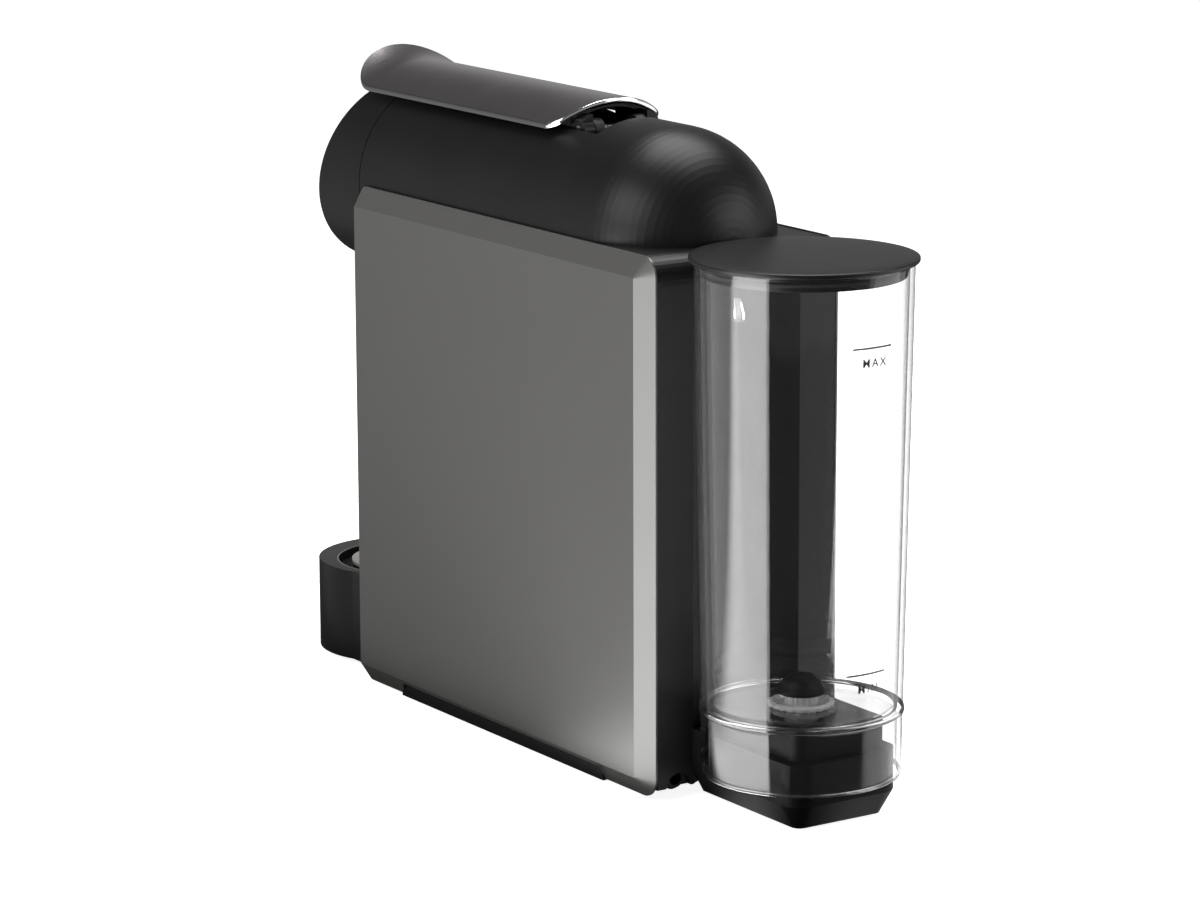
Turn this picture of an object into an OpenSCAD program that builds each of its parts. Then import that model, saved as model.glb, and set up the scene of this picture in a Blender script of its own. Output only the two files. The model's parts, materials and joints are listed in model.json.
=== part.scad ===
// Slim pod coffee machine: two chamfered side panels around a black core, a
// round brew head with a dome, an arched lever, a clear lift-off water tank
// on a dock behind, and a round cup stand in front.
// Millimetres. +Z is up, the cup stand faces -Y, the tank stands at +Y.
// The origin is on the floor, in the middle of the whole machine.

/* [Body] */
// Overall width over the flat faces of the two side panels
body_w = 105; // [95:1:130]
// Length of a side panel
body_l = 246.5; // [220:0.5:300]
// Height of a side panel
panel_h = 240.3; // [210:0.1:290]
// Gap between the floor and the lower edge of the side panels
ground_gap = 1.6; // [1.2:0.1:4]
// How far the chamfer band steps in from the flat face
chamfer_depth = 4; // [2:0.5:6]
// Width of the chamfer band along the rear edge
chamfer_rear = 11.2; // [6:0.2:16]
// Width of the chamfer band along the top edge
chamfer_top = 9.7; // [6:0.1:16]
// Width of the chamfer band along the bottom edge
chamfer_bottom = 8; // [6:0.2:16]
// Radius of a side panel's outer corners
panel_corner_r = 9; // [5:0.5:12]
// Thickness of the panel's straight rim behind the chamfer
panel_rim = 0.9; // [0.6:0.1:2]
// Wall of the panel shell
panel_wall = 1.8; // [1.2:0.1:2.5]
// Wall of the black plastic covers
cover_wall = 2.5; // [1.5:0.1:3.5]
// Gap between the covers and the side panels
cover_gap = 0.3; // [0.2:0.1:1]
// Distance from the panel's front edge to the base rail
rail_front = 33.5; // [20:0.5:60]
// Distance from the panel's rear edge to the base rail
rail_rear = 40; // [20:0.5:60]
// Height of the rail above the panel's lower edge
rail_h = 6; // [4:0.5:7.5]

/* [Head] */
// Radius of the round brew head
head_r = 46.7; // [40:0.1:47]
// Wall of the head shell and its cap
head_wall = 2.5; // [1.5:0.1:3.5]
// How far the head shell reaches in front of the side panels
head_lead = 4.3; // [2:0.1:10]
// Length of the front cap, measured on the head's axis
cap_l = 37.4; // [30:0.2:50]
// Lean of the cap's front face
cap_lean = 15.7; // [0:0.1:20]
// Distance from the dome's centre to the rear edge of the side panels
dome_inset = 58.1; // [52:0.1:70]
// Half width of the hinge well under the lever
well_half_w = 22; // [18:0.5:26]
// Distance from the hinge well's rear wall to the dome's centre
well_rear_inset = 26.6; // [20:0.2:40]
// Length of the hinge well
well_l = 50; // [40:1:60]
// Width of the slot that a capsule is dropped into
capsule_slot_w = 40; // [34:1:44]
// Length of the slot that a capsule is dropped into
capsule_slot_l = 30; // [26:1:34]

/* [Lever] */
// Half width of the lever
lever_half_w = 30; // [24:1:36]
// Radius of the lever's arched section
lever_arc_r = 45; // [40:1:60]
// Height of the lever's crown above the head
lever_clear = 4.7; // [4.2:0.1:8]
// Thickness of the lever plate
lever_t = 2.6; // [2:0.1:4]
// How far the lever's lip reaches past the front edge of the side panels
lever_lead = 46.4; // [30:0.2:60]
// Length of the rounded lip in plan
lip_l = 19.1; // [12:0.1:26]
// How far the lip's tip turns up
lip_rise = 5; // [0:0.5:10]
// Bow of the lever's rear edge in plan
lever_bow = 9; // [4:0.5:12]
// Distance from the lever's rear edge to the hinge axis
hinge_inset = 2.9; // [2:0.1:8]
// Depth of the hinge axis under the lever's crown
hinge_drop = 14.5; // [14:0.5:16]
// Radius of the hinge pin
hinge_pin_r = 3; // [2:0.1:4]
// Length of the drive arm from the hinge axis to the drive pin
drive_arm = 24; // [20:0.5:28]
// Opening angle of the lever
lever_open = 84; // [60:1:85]
// Radius of the drive pin
drive_pin_r = 3; // [2:0.1:4]
// Running clearance of pins in their holes
pin_clear = 0.05; // [0.02:0.01:0.1]

/* [Tank] */
// Outer radius of the tank at its rim
tank_r_top = 47.25; // [40:0.25:55]
// Outer radius of the tank at its floor
tank_r_floor = 43.9; // [38:0.1:52]
// Wall of the tank
tank_wall = 2.2; // [1.6:0.1:3]
// Height of the skirt under the tank's floor
skirt_h = 29.4; // [20:0.2:36]
// Height of the skirt's lower edge above the floor
skirt_z = 17.5; // [14:0.5:24]
// Thickness of the tank's floor
tank_floor_t = 2.8; // [2:0.1:4]
// Distance from the side panels' rear edge to the tank's axis
tank_back = 40.9; // [36:0.1:50]
// Radius of the tank lid
lid_r = 49.4; // [42:0.1:56]
// Thickness of the lid's rim
lid_t = 2.6; // [2:0.1:5]
// Radial gap between the lid and the recess in the body
recess_gap = 0.7; // [0.5:0.1:3]
// Radius of the valve's cap
valve_cap_r = 10.5; // [8:0.5:14]
// Radius of the valve's neck
valve_neck_r = 7.2; // [6.8:0.1:9]
// Radius of the valve's plunger
plunger_r = 2.4; // [2:0.1:3]

/* [Dock] */
// Half width of the dock's lower step
dock_half_w = 29; // [24:0.5:32]
// How far the dock's lower step reaches behind the tank's axis
dock_reach = 35; // [28:0.5:36]
// Corner radius of the dock's lower step
dock_corner_r = 10.2; // [8:0.2:14]
// Height of the top of the lower step
dock_step_z = 31; // [26:0.5:36]
// Inset of the upper step from the lower step
dock_inset = 4.6; // [3:0.2:8]
// Height of the dock's lower edge above the floor
dock_z = 12.5; // [10:0.5:16]
// Height of the foot's flat underside above the floor
foot_z = 1.5; // [1.2:0.1:3]
// Inset of the foot's underside from the dock's outline
foot_inset = 6; // [3:0.5:9]

/* [Cup stand] */
// Outer radius of the round cup stand
stand_r = 42.2; // [36:0.2:46]
// Distance from the panel's front edge to the centre of the cup stand
stand_lead = 45.5; // [40:0.5:60]
// Height of the top of the cup stand above the floor
stand_top = 46.9; // [40:0.1:60]
// Height of the cup stand's lower edge above the floor
stand_z = 3; // [2:0.5:6]
// Radius of the round opening in the cup stand
stand_open_r = 35; // [30:0.5:37]
// How far the opening sits behind the centre of the stand
stand_open_back = 5; // [0:0.5:6]
// Wall of the cup stand
stand_wall = 2.5; // [1.8:0.1:3.5]
// Radius of the raised cup ring on the drip grid
cup_ring_r = 28.4; // [24:0.2:30]
// Width of the raised cup ring
cup_ring_w = 4.5; // [3:0.5:8]
// Height of the capsule bin
bin_h = 108; // [80:1:120]

/* [Hidden] */
$fn = 96;

// places along Y
total_l = stand_lead + stand_r + body_l + tank_back + lid_r;
y_front = -total_l / 2 + stand_lead + stand_r;
y_rear = y_front + body_l;
y_tank = y_rear + tank_back;
y_stand = y_front - stand_lead;
y_dome = y_rear - dome_inset;
y_seam = y_front - head_lead;
y_cap = y_seam - cap_l;
y_well_rear = y_dome - well_rear_inset;
y_cover = y_rear - 0.4;
// places along Z
z_top = ground_gap + panel_h;
z_axis = z_top + 0.1;
z_deck = z_top - 0.4;
z_base = ground_gap + 3.8;
z_floor = skirt_z + skirt_h;
z_rim = z_top + 0.1;
z_crown = z_axis + head_r + lever_clear + lever_t;
z_rail = ground_gap - 0.8;
// widths
core_half = body_w / 2 - chamfer_depth - panel_rim - cover_gap;
panel_in = body_w / 2 - chamfer_depth - panel_rim;
recess_r = lid_r + recess_gap;
head_in = head_r - head_wall;
// lever
y_lever_rear = y_well_rear - 15.4;
y_hinge = y_lever_rear - hinge_inset;
z_hinge = z_crown - hinge_drop;
y_lip = y_front - lever_lead;
drive_lean = lever_open / 2;
stroke = 2 * drive_arm * sin(drive_lean);
y_drive = y_hinge + drive_arm * sin(drive_lean);
z_drive = z_hinge - drive_arm * cos(drive_lean);
ear_in = 9;
ear_t = 5;
cheek_gap = 0.6;
cheek_t = 5.5;
cheek_in = ear_in + ear_t + cheek_gap;
cheek_out = cheek_in + cheek_t;
bar_in = 28;
bar_t = 4;
pin_slot_play = 1;
// brew unit
chamber_r = 26.5;
y_plate = y_front + 48;
plate_t = 14;
y_chamber = y_plate + plate_t + 2.2;
chamber_l = 32;
capsule_r = 18.8;
frame_z = z_axis - 33;
frame_t = 3;
y_bulk = y_front + 92;
bulk_t = 3;
shelf_z = 118;
shelf_t = 3;
slack = 0.2;

// ---------- shared shapes ----------

// A block between two corners
module block(x0, x1, y0, y1, z0, z1) {
    translate([x0, y0, z0]) cube([x1 - x0, y1 - y0, z1 - z0]);
}

// A round bar along Y
module bar_y(r, y0, y1, x = 0, z = 0) {
    translate([x, y1, z]) rotate([90, 0, 0]) cylinder(r = r, h = y1 - y0);
}

// A round bar along X
module bar_x(r, x0, x1, y = 0, z = 0) {
    translate([x0, y, z]) rotate([0, 90, 0]) cylinder(r = r, h = x1 - x0);
}

// A round bar along Z
module bar_z(r, z0, z1, x = 0, y = 0) {
    translate([x, y, z0]) cylinder(r = r, h = z1 - z0);
}

// Points of an arc round a centre
function arc(cx, cy, r, a0, a1, n = 10) =
    [for (i = [0:n]) let (a = a0 + (a1 - a0) * i / n) [cx + r * cos(a), cy + r * sin(a)]];

// Outline of a box whose corners are arcs, between two corners in plan
function round_box(x0, x1, y0, y1, r) = concat(
    arc(x1 - r, y1 - r, r, 0, 90), arc(x0 + r, y1 - r, r, 90, 180),
    arc(x0 + r, y0 + r, r, 180, 270), arc(x1 - r, y0 + r, r, 270, 360));

// Outline of a box with round corners at its far side only
function round_end(half, y0, y1, r) = concat(
    arc(half - r, y1 - r, r, 0, 90), arc(-half + r, y1 - r, r, 90, 180),
    [[-half, y0], [half, y0]]);

// A mirrored pair across the machine's middle plane
module both_sides() {
    children();
    mirror([1, 0, 0]) children();
}

// A tube swept along points, as rings of equal sides
function unit(v) = v / norm(v);
function ring_at(p, t, r, sides) = let (
    side = unit(cross(t, abs(t[2]) > 0.9 ? [1, 0, 0] : [0, 0, 1])),
    up = cross(side, t))
    [for (k = [0:sides - 1]) let (a = 360 * k / sides) p + r * (cos(a) * side + sin(a) * up)];
module tube_along(path, r, sides = 10) {
    n = len(path);
    rings = [for (i = [0:n - 1]) let (t = unit(path[min(i + 1, n - 1)] - path[max(i - 1, 0)]))
        ring_at(path[i], t, r, sides)];
    points = [for (ring = rings) for (p = ring) p];
    quads = [for (i = [0:n - 2]) for (k = [0:sides - 1]) let (m = (k + 1) % sides)
        [i * sides + k, i * sides + m, (i + 1) * sides + m, (i + 1) * sides + k]];
    cap_a = [for (k = [sides - 1:-1:0]) k];
    cap_b = [for (k = [0:sides - 1]) (n - 1) * sides + k];
    polyhedron(points, concat(quads, [cap_a, cap_b]), convexity = 6);
}

// A cubic curve through two ends with their handles
function curve(a, b, c, d, n = 14) = [for (i = [0:n]) let (t = i / n)
    pow(1 - t, 3) * a + 3 * t * pow(1 - t, 2) * b + 3 * t * t * (1 - t) * c + t * t * t * d];

// A hex-socket style screw pointing along +Z from its head
module screw(r, l) {
    difference() {
        union() {
            cylinder(r = 2 * r, h = r * 1.2, $fn = 32);
            translate([0, 0, r * 0.6]) cylinder(r = r, h = l, $fn = 24);
        }
        translate([0, 0, -1]) cylinder(r = r, h = 1 + r * 0.7, $fn = 6);
    }
}

// ---------- side panels ----------

// Outline of the panel in the YZ plane, set in from each edge
function panel_outline(front, rear, low, high, r_front, r_rear) = concat(
    arc(y_front + front + r_front, ground_gap + low + r_front, r_front, 180, 270, 5),
    arc(y_rear - rear - r_rear, ground_gap + low + r_rear, r_rear, 270, 360, 8),
    arc(y_rear - rear - r_rear, z_top - high - r_rear, r_rear, 0, 90, 8),
    arc(y_front + front + r_front, z_top - high - r_front, r_front, 90, 180, 5));

// One slice of the panel, standing in the YZ plane at x
module panel_slice(x, t, front, rear, low, high, r_front, r_rear) {
    translate([x, 0, 0]) rotate([90, 0, 90]) linear_extrude(height = t)
        polygon(panel_outline(front, rear, low, high, r_front, r_rear));
}

// The panel's solid form, shrunk by a wall on every side
module panel_form(wall) {
    x_face = body_w / 2 - wall;
    x_edge = panel_in;
    rim = panel_rim - wall * 0.4;
    skin = 0.02;
    hull() {
        panel_slice(x_edge, rim, wall, wall, wall, wall, panel_corner_r / 2, panel_corner_r - wall);
        panel_slice(x_face - skin, skin, wall, chamfer_rear + wall / 2, chamfer_bottom + wall / 2,
            chamfer_top + wall / 2, 0.6, 0.6);
    }
}

// Bosses that the panel's screws go into, as places in the YZ plane
panel_bosses = [[y_front + 24, ground_gap + 26], [y_rear - 24, ground_gap + 26],
    [y_front + 24, z_top - 38], [y_rear - 24, z_top - 38]];
boss_r = 4;
boss_bore_r = 1.6;

module side_panel() {
    difference() {
        union() {
            difference() {
                panel_form(0);
                translate([-slack, 0, 0]) panel_form(panel_wall);
            }
            for (b = panel_bosses)
                bar_x(boss_r, panel_in, body_w / 2 - panel_wall / 2, b[0], b[1]);
        }
        for (b = panel_bosses)
            bar_x(boss_bore_r, panel_in - 1, body_w / 2 - panel_wall, b[0], b[1]);
        block(panel_in - 1, body_w / 2 + 1, y_front + rail_front, y_rear - rail_rear,
            -1, ground_gap + rail_h);
    }
}

module side_panel_right() color([0.36, 0.37, 0.35]) side_panel();
module side_panel_left() color([0.36, 0.37, 0.35]) mirror([1, 0, 0]) side_panel();

// ---------- base ----------

tub_wall = 2.5;
tub_h = 14;
bay_half = stand_r - 2.4;
bay_z = z_base + tub_wall;

// Floor tub between the panels, open at the front for the cup stand's tongue
module base_tub() color([0.08, 0.08, 0.08]) {
    difference() {
        block(-core_half, core_half, y_front + 2, y_cover - cover_wall - slack, z_base, z_base + tub_h);
        block(-core_half + tub_wall, core_half - tub_wall, y_front + 1, y_cover - cover_wall - 2.5,
            bay_z, z_base + tub_h + 1);
        bar_z(recess_r + cover_wall + slack, 0, z_base + tub_h + 1, 0, y_tank);
        bar_y(gland_r + pin_clear, y_cover - 16, y_cover, arch_x, gland_z);
        bar_y(gland_flange_r + slack, y_cover - 9, y_gland_wall, arch_x, gland_z);
        for (p = feet_places) bar_z(2, z_base - 1, bay_z + 1, p[0], p[1]);
        both_sides() for (b = panel_bosses)
            bar_x(boss_bore_r + slack, core_half - tub_wall - 1, core_half + 1, b[0], b[1]);
    }
}

// Black strips that fill the notches under the side panels
rail_face = body_w / 2 - 3;
module base_rails() color([0.1, 0.1, 0.11]) both_sides()
    block(core_half, rail_face, y_front + rail_front + slack, y_rear - rail_rear - slack,
        z_rail, ground_gap + rail_h - slack);

// Feet under the tub, and two pads under the dock's foot
foot_r = 8;
feet_places = [[-32, y_front + 22], [32, y_front + 22], [-32, y_rear - 32], [32, y_rear - 32]];
pad_places = [[-12, y_tank + 12], [12, y_tank + 12]];
module rubber_feet() color([0.05, 0.05, 0.05]) {
    for (p = feet_places) {
        bar_z(foot_r, 0, z_base, p[0], p[1]);
        bar_z(2 - slack / 2, z_base - 1, bay_z, p[0], p[1]);
    }
    for (p = pad_places) bar_z(6, 0, foot_z, p[0], p[1]);
}

// ---------- covers ----------

// Everything outside the round recess that takes the tank
module recess_wall(extra, z0, z1) {
    bar_z(recess_r + extra, z0, z1, 0, y_tank);
}

deck_round = 12;
deck_seam_z = z_deck - deck_round;
arch_x = 36;
arch_half = 6.5;
arch_top = z_base + 6.4;
gland_r = 4.2;
gland_bore_r = 3.1;
gland_flange_r = 5.4;
gland_z = z_base + 3.2;
y_gland_wall = y_cover - cover_wall - 2.5;

// Rear wall with the tank's round recess and a low arch for the cord
module rear_cover() color([0.1, 0.1, 0.1]) {
    depth = 22;
    lip = 0.2;
    difference() {
        block(-core_half, core_half, y_cover - depth, y_cover, z_base, deck_seam_z - lip);
        difference() {
            block(-core_half + cover_wall, core_half - cover_wall, y_cover - depth - 1,
                y_cover - cover_wall, z_base - 1, deck_seam_z + 1);
            recess_wall(cover_wall, z_base - 1, deck_seam_z + 2);
        }
        recess_wall(0, z_base - 1, deck_seam_z + 2);
        bar_y(arch_half, y_cover - cover_wall - 1, y_cover + 1, arch_x, arch_top - arch_half);
        bar_y(pipe_r + slack, y_cover - depth, y_cover, 0, dock_pipe_z);
        both_sides() block(core_half - cover_wall - 1, core_half + 1, y_cover - depth - 1,
            y_cover - cover_wall, z_base - 1, z_base + tub_h + slack);
        both_sides() for (b = panel_bosses)
            bar_x(boss_bore_r + slack, core_half - cover_wall - 1, core_half + 1, b[0], b[1]);
    }
}

// Profile of the deck in the YZ plane, with its rounded rear edge
function deck_profile(in) = concat(
    [[y_front + 0.4 - in * 3, deck_seam_z - in], [y_cover - in, deck_seam_z - in]],
    arc(y_cover - deck_round, z_deck - deck_round, deck_round - in, 0, 90, 10),
    [[y_front + 0.4 - in * 3, z_deck - in]]);

deck_open_half = 40;
module top_deck() color([0.09, 0.09, 0.09]) {
    difference() {
        rotate([90, 0, 90]) translate([0, 0, -core_half]) linear_extrude(height = 2 * core_half)
            polygon(deck_profile(0));
        rotate([90, 0, 90]) translate([0, 0, -core_half + cover_wall])
            linear_extrude(height = 2 * (core_half - cover_wall)) polygon(deck_profile(cover_wall));
        difference() {
            block(-deck_open_half, deck_open_half, y_front - 5, y_dome, deck_seam_z - 1, z_deck + 1);
        }
        bar_z(deck_open_half, deck_seam_z - 1, z_deck + 1, 0, y_dome);
        recess_wall(0, deck_seam_z - 1, z_deck + 1);
        // the head's full round front sits in this mouth
        bar_y(head_r + slack, y_front - 1, y_front + 3, 0, z_axis);
    }
}

// Front wall under the head, with the bay for the bin below
bay_top = 132;
front_gap = 1;
module front_cover() color([0.1, 0.1, 0.1]) {
    difference() {
        block(-core_half, core_half, y_front + front_gap, y_front + front_gap + cover_wall,
            z_base + tub_h + slack, deck_seam_z - slack);
        block(-bay_half, bay_half, y_front, y_front + 9, z_base, bay_top);
        bar_y(head_r + slack, y_front - 1, y_front + 9, 0, z_axis);
    }
    // returns along the panels
    both_sides() difference() {
        block(core_half - cover_wall, core_half, y_front + front_gap, y_front + 34,
            z_base + tub_h + slack, deck_seam_z - slack);
        for (b = panel_bosses)
            bar_x(boss_bore_r + slack, core_half - cover_wall - 1, core_half + 1, b[0], b[1]);
    }
}

// ---------- head ----------

// The head's form: a bar with a round rear end, turned round its axis
module head_form(r, y0) {
    translate([0, 0, z_axis]) rotate([-90, 0, 0]) rotate_extrude()
        polygon(concat([[0, y0], [r, y0]], arc(0, y_dome, r, 0, 90, 20)));
}

capsule_half = capsule_slot_w / 2;
y_slot = y_chamber - 1;
module head_shell() color([0.07, 0.07, 0.07]) {
    z_cut = z_deck;
    difference() {
        head_form(head_r, y_seam);
        head_form(head_in, y_seam - 1);
        block(-head_r - 1, head_r + 1, y_front + 0.5, y_rear, z_axis - head_r - 1, z_cut);
        // hinge well under the lever
        block(-well_half_w, well_half_w, y_well_rear - well_l, y_well_rear, z_axis + 20, z_crown);
        // slot that the capsule is dropped into
        block(-capsule_half, capsule_half, y_slot - capsule_slot_l, y_slot, z_axis + 10, z_crown);
    }
}

// Cuts away everything in front of the leaning face
module lean_cut(inset) {
    translate([0, y_cap + inset, z_axis]) rotate([-cap_lean, 0, 0])
        translate([-100, -200, -100]) cube([200, 200, 200]);
}

cap_groove = 0.6;
spout_y = y_stand + 7;
spout_r = 9;
button_r = 9;
button_clear = 0.35;
button_x = 14;
button_travel = 1.5;

// Places a piece on the cap's leaning face, its z axis pointing out
module on_face(x, up) {
    translate([0, y_cap, z_axis]) rotate([-cap_lean, 0, 0]) translate([x, 0, up])
        rotate([90, 0, 0]) children();
}

module head_cap() color([0.07, 0.07, 0.07]) {
    difference() {
        bar_y(head_r, y_cap - 20, y_seam - cap_groove, 0, z_axis);
        lean_cut(0);
        difference() {
            bar_y(head_in, y_cap - 20, y_seam + 1, 0, z_axis);
            lean_cut(head_wall);
        }
        bar_z(spout_r + slack, z_axis - head_r - 5, z_axis - 20, 0, spout_y);
        for (s = [-1, 1]) on_face(s * button_x, 8)
            translate([0, 0, -10]) cylinder(r = button_r + button_clear, h = 20);
    }
    // spigot that locates the cap in the head shell
    difference() {
        union() {
            bar_y(head_in - slack, y_seam - cap_groove - 4, y_seam + 4, 0, z_axis);
            bar_y(head_in + slack, y_seam - cap_groove - 4, y_seam - cap_groove, 0, z_axis);
        }
        bar_y(head_in - 2.2, y_seam - cap_groove - 5, y_seam + 5, 0, z_axis);
    }
    // posts that carry the button board
    for (s = [-1, 1]) on_face(s * 24, 8) difference() {
        translate([0, 11, -board_drop]) cylinder(r = 3, h = board_drop - head_wall + slack);
        translate([0, 11, -board_drop - 1]) cylinder(r = 1.3, h = board_drop - head_wall - 2);
    }
}

// Outlet: a funnel inside the cap and a short nozzle below it
trough_half = 11;
module spout() color([0.06, 0.06, 0.06]) {
    z_floor_in = z_axis - head_in + 2;
    difference() {
        union() {
            bar_z(spout_r, z_axis - head_r - 11, z_floor_in + 6, 0, spout_y);
            block(-trough_half, trough_half, spout_y, chute_y0 - 2, z_floor_in + 1.8,
                z_floor_in + 12);
        }
        bar_z(spout_r - 2, z_axis - head_r - 8, z_floor_in + 16, 0, spout_y);
        for (s = [-1, 1]) bar_z(2.2, z_axis - head_r - 12, z_floor_in, s * 4, spout_y);
        block(-trough_half + 1.8, trough_half - 1.8, spout_y - spout_r, chute_y0 - 3.8,
            z_floor_in + 3.6, z_floor_in + 17);
    }
}

module button(side) {
    on_face(side * button_x, 8) difference() {
        union() {
            translate([0, 0, -head_wall - 1.5]) cylinder(r = button_r, h = head_wall + 2.3);
            translate([0, 0, -head_wall - 1.9]) cylinder(r = button_r + 1.6, h = 1.7);
            translate([0, 0, -head_wall - 5.3]) cylinder(r = 2, h = 4);
        }
        translate([0, 0, 20.4]) sphere(r = 20, $fn = 64);
    }
}
module button_small() color([0.16, 0.16, 0.17]) button(-1);
module button_large() color([0.16, 0.16, 0.17]) button(1);

board_drop = head_wall + 10.6;
module button_switches() color([0.2, 0.2, 0.2])
    for (s = [-1, 1]) on_face(s * button_x, 8)
        translate([-3, -3, -board_drop]) cube([6, 6, 3.6]);

module button_board() color([0.1, 0.32, 0.2])
    difference() {
        on_face(0, 8) translate([-27, -15, -board_drop - 1.6]) cube([54, 30, 1.6]);
        for (s = [-1, 1]) on_face(s * 24, 8) translate([0, 11, -board_drop - 3])
            cylinder(r = 1.3, h = 6, $fn = 24);
    }

// ---------- lever ----------

// Shape of the lever's upper surface
flare_start = y_lip + 26;
function clamp01(v) = min(1, max(0, v));
function ease(v) = let (t = clamp01(v)) t * t * (3 - 2 * t);
function lip_lift(y) = lip_rise * pow(clamp01((flare_start - y) / 26), 2);
function lip_keep(y) = 1 - 0.28 * ease((flare_start - 3 - y) / 20);
function sag(x) = lever_arc_r - sqrt(lever_arc_r * lever_arc_r - x * x);
function lever_z(x, y) = z_crown + lip_lift(y) - lip_keep(y) * sag(x);
// Front and rear edges of the lever in plan, at a share u of the half width
function lever_front(u) = y_lip + lip_l - lip_l * sqrt(max(0, 1 - u * u));
function lever_back(u) = y_lever_rear - lever_bow * u * u - 5 * pow(max(0, abs(u) - 0.86) / 0.14, 2);

lever_nu = 20;
lever_nv = 26;
// Rows of the plate sit closer together towards the lip
function lever_share(v) = v < 0.4 ? 0.9 * v * v : 0.144 + (v - 0.4) * 0.856 / 0.6;
function lever_point(i, j, drop) = let (
    u = sin(90 * (2 * i / lever_nu - 1)),
    x = lever_half_w * u,
    y = lever_front(u) + (lever_back(u) - lever_front(u)) * lever_share(j / lever_nv))
    [x, y, lever_z(x, y) - drop];

module lever_plate() color([0.3, 0.3, 0.31]) {
    row = lever_nu + 1;
    top = [for (j = [0:lever_nv]) for (i = [0:lever_nu]) lever_point(i, j, 0)];
    low = [for (j = [0:lever_nv]) for (i = [0:lever_nu]) lever_point(i, j, lever_t)];
    m = row * (lever_nv + 1);
    up = [for (j = [0:lever_nv - 1]) for (i = [0:lever_nu - 1])
        each [[j * row + i, (j + 1) * row + i, (j + 1) * row + i + 1],
            [j * row + i, (j + 1) * row + i + 1, j * row + i + 1]]];
    down = [for (f = up) [m + f[2], m + f[1], m + f[0]]];
    front = [for (i = [0:lever_nu - 1]) each [[i, i + 1, m + i + 1], [i, m + i + 1, m + i]]];
    b = lever_nv * row;
    back = [for (i = [0:lever_nu - 1])
        each [[b + i, m + b + i + 1, b + i + 1], [b + i, m + b + i, m + b + i + 1]]];
    near = [for (j = [0:lever_nv - 1]) let (a = j * row, c = (j + 1) * row)
        each [[a, m + c, c], [a, m + a, m + c]]];
    far = [for (j = [0:lever_nv - 1]) let (a = j * row + lever_nu, c = (j + 1) * row + lever_nu)
        each [[a, c, m + c], [a, m + c, m + a]]];
    polyhedron(concat(top, low), concat(up, down, front, back, near, far), convexity = 8);
}

// Bracket under the lever: a curved spine, two cheeks and the drive arms
spine_t = 2;
spine_l = 70;
spine_half = 22;
cheek_r = 6.2;
module lever_arm() color([0.06, 0.06, 0.06]) {
    arc_z = z_crown - lever_arc_r;
    r_out = lever_arc_r - lever_t - 0.08;
    y0 = y_lever_rear - spine_l;
    y1 = y_lever_rear - 6;
    intersection() {
        difference() {
            bar_y(r_out, y0, y1, 0, arc_z);
            bar_y(r_out - spine_t, y0 - 1, y1 + 1, 0, arc_z);
        }
        block(-spine_half, spine_half, y0 - 1, y1 + 1, arc_z + 20, z_crown);
    }
    both_sides() difference() {
        union() {
            bar_x(cheek_r, cheek_in, cheek_out, y_hinge, z_hinge);
            // cheek up to the spine
            intersection() {
                block(cheek_in, cheek_out, y_hinge - 22, y_hinge + cheek_r - 2.1, z_hinge, z_crown);
                bar_y(r_out - spine_t / 2, y_hinge - 30, y_hinge + 10, 0, arc_z);
            }
            // drive arm down to the drive pin
            translate([0, y_hinge, z_hinge]) rotate([drive_lean, 0, 0])
                block(cheek_in + 0.4, cheek_out - 0.4, -cheek_r + 1.7, cheek_r - 1.7, -drive_arm, 0);
            bar_x(cheek_r - 0.9, cheek_in, cheek_out, y_drive, z_drive);
            bar_x(drive_pin_r, cheek_out - 2, bar_in + bar_t - 0.5, y_drive, z_drive);
        }
        bar_x(hinge_pin_r + pin_clear, cheek_in - 1, cheek_out + 1, y_hinge, z_hinge);
    }
}

module lever_pin() color([0.7, 0.7, 0.72])
    bar_x(hinge_pin_r, -cheek_out + 0.3, cheek_out - 0.3, y_hinge, z_hinge);

// Fixed ears that carry the hinge pin, standing on the brew frame
module hinge_bracket() color([0.5, 0.51, 0.52]) {
    difference() {
        union() {
            both_sides() {
                block(ear_in, ear_in + ear_t, y_hinge - 6, y_hinge + 6, frame_z + frame_t, z_hinge);
                bar_x(6, ear_in, ear_in + ear_t, y_hinge, z_hinge);
            }
            block(-ear_in - ear_t, ear_in + ear_t, y_hinge - 6, y_hinge + 18, frame_z + frame_t,
                frame_z + frame_t + 3);
        }
        bar_x(hinge_pin_r + pin_clear, -30, 30, y_hinge, z_hinge);
        for (s = [-1, 1]) bar_z(1.6, frame_z, frame_z + 9, s * 4, y_hinge + 12);
    }
}

// ---------- brew unit ----------

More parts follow.
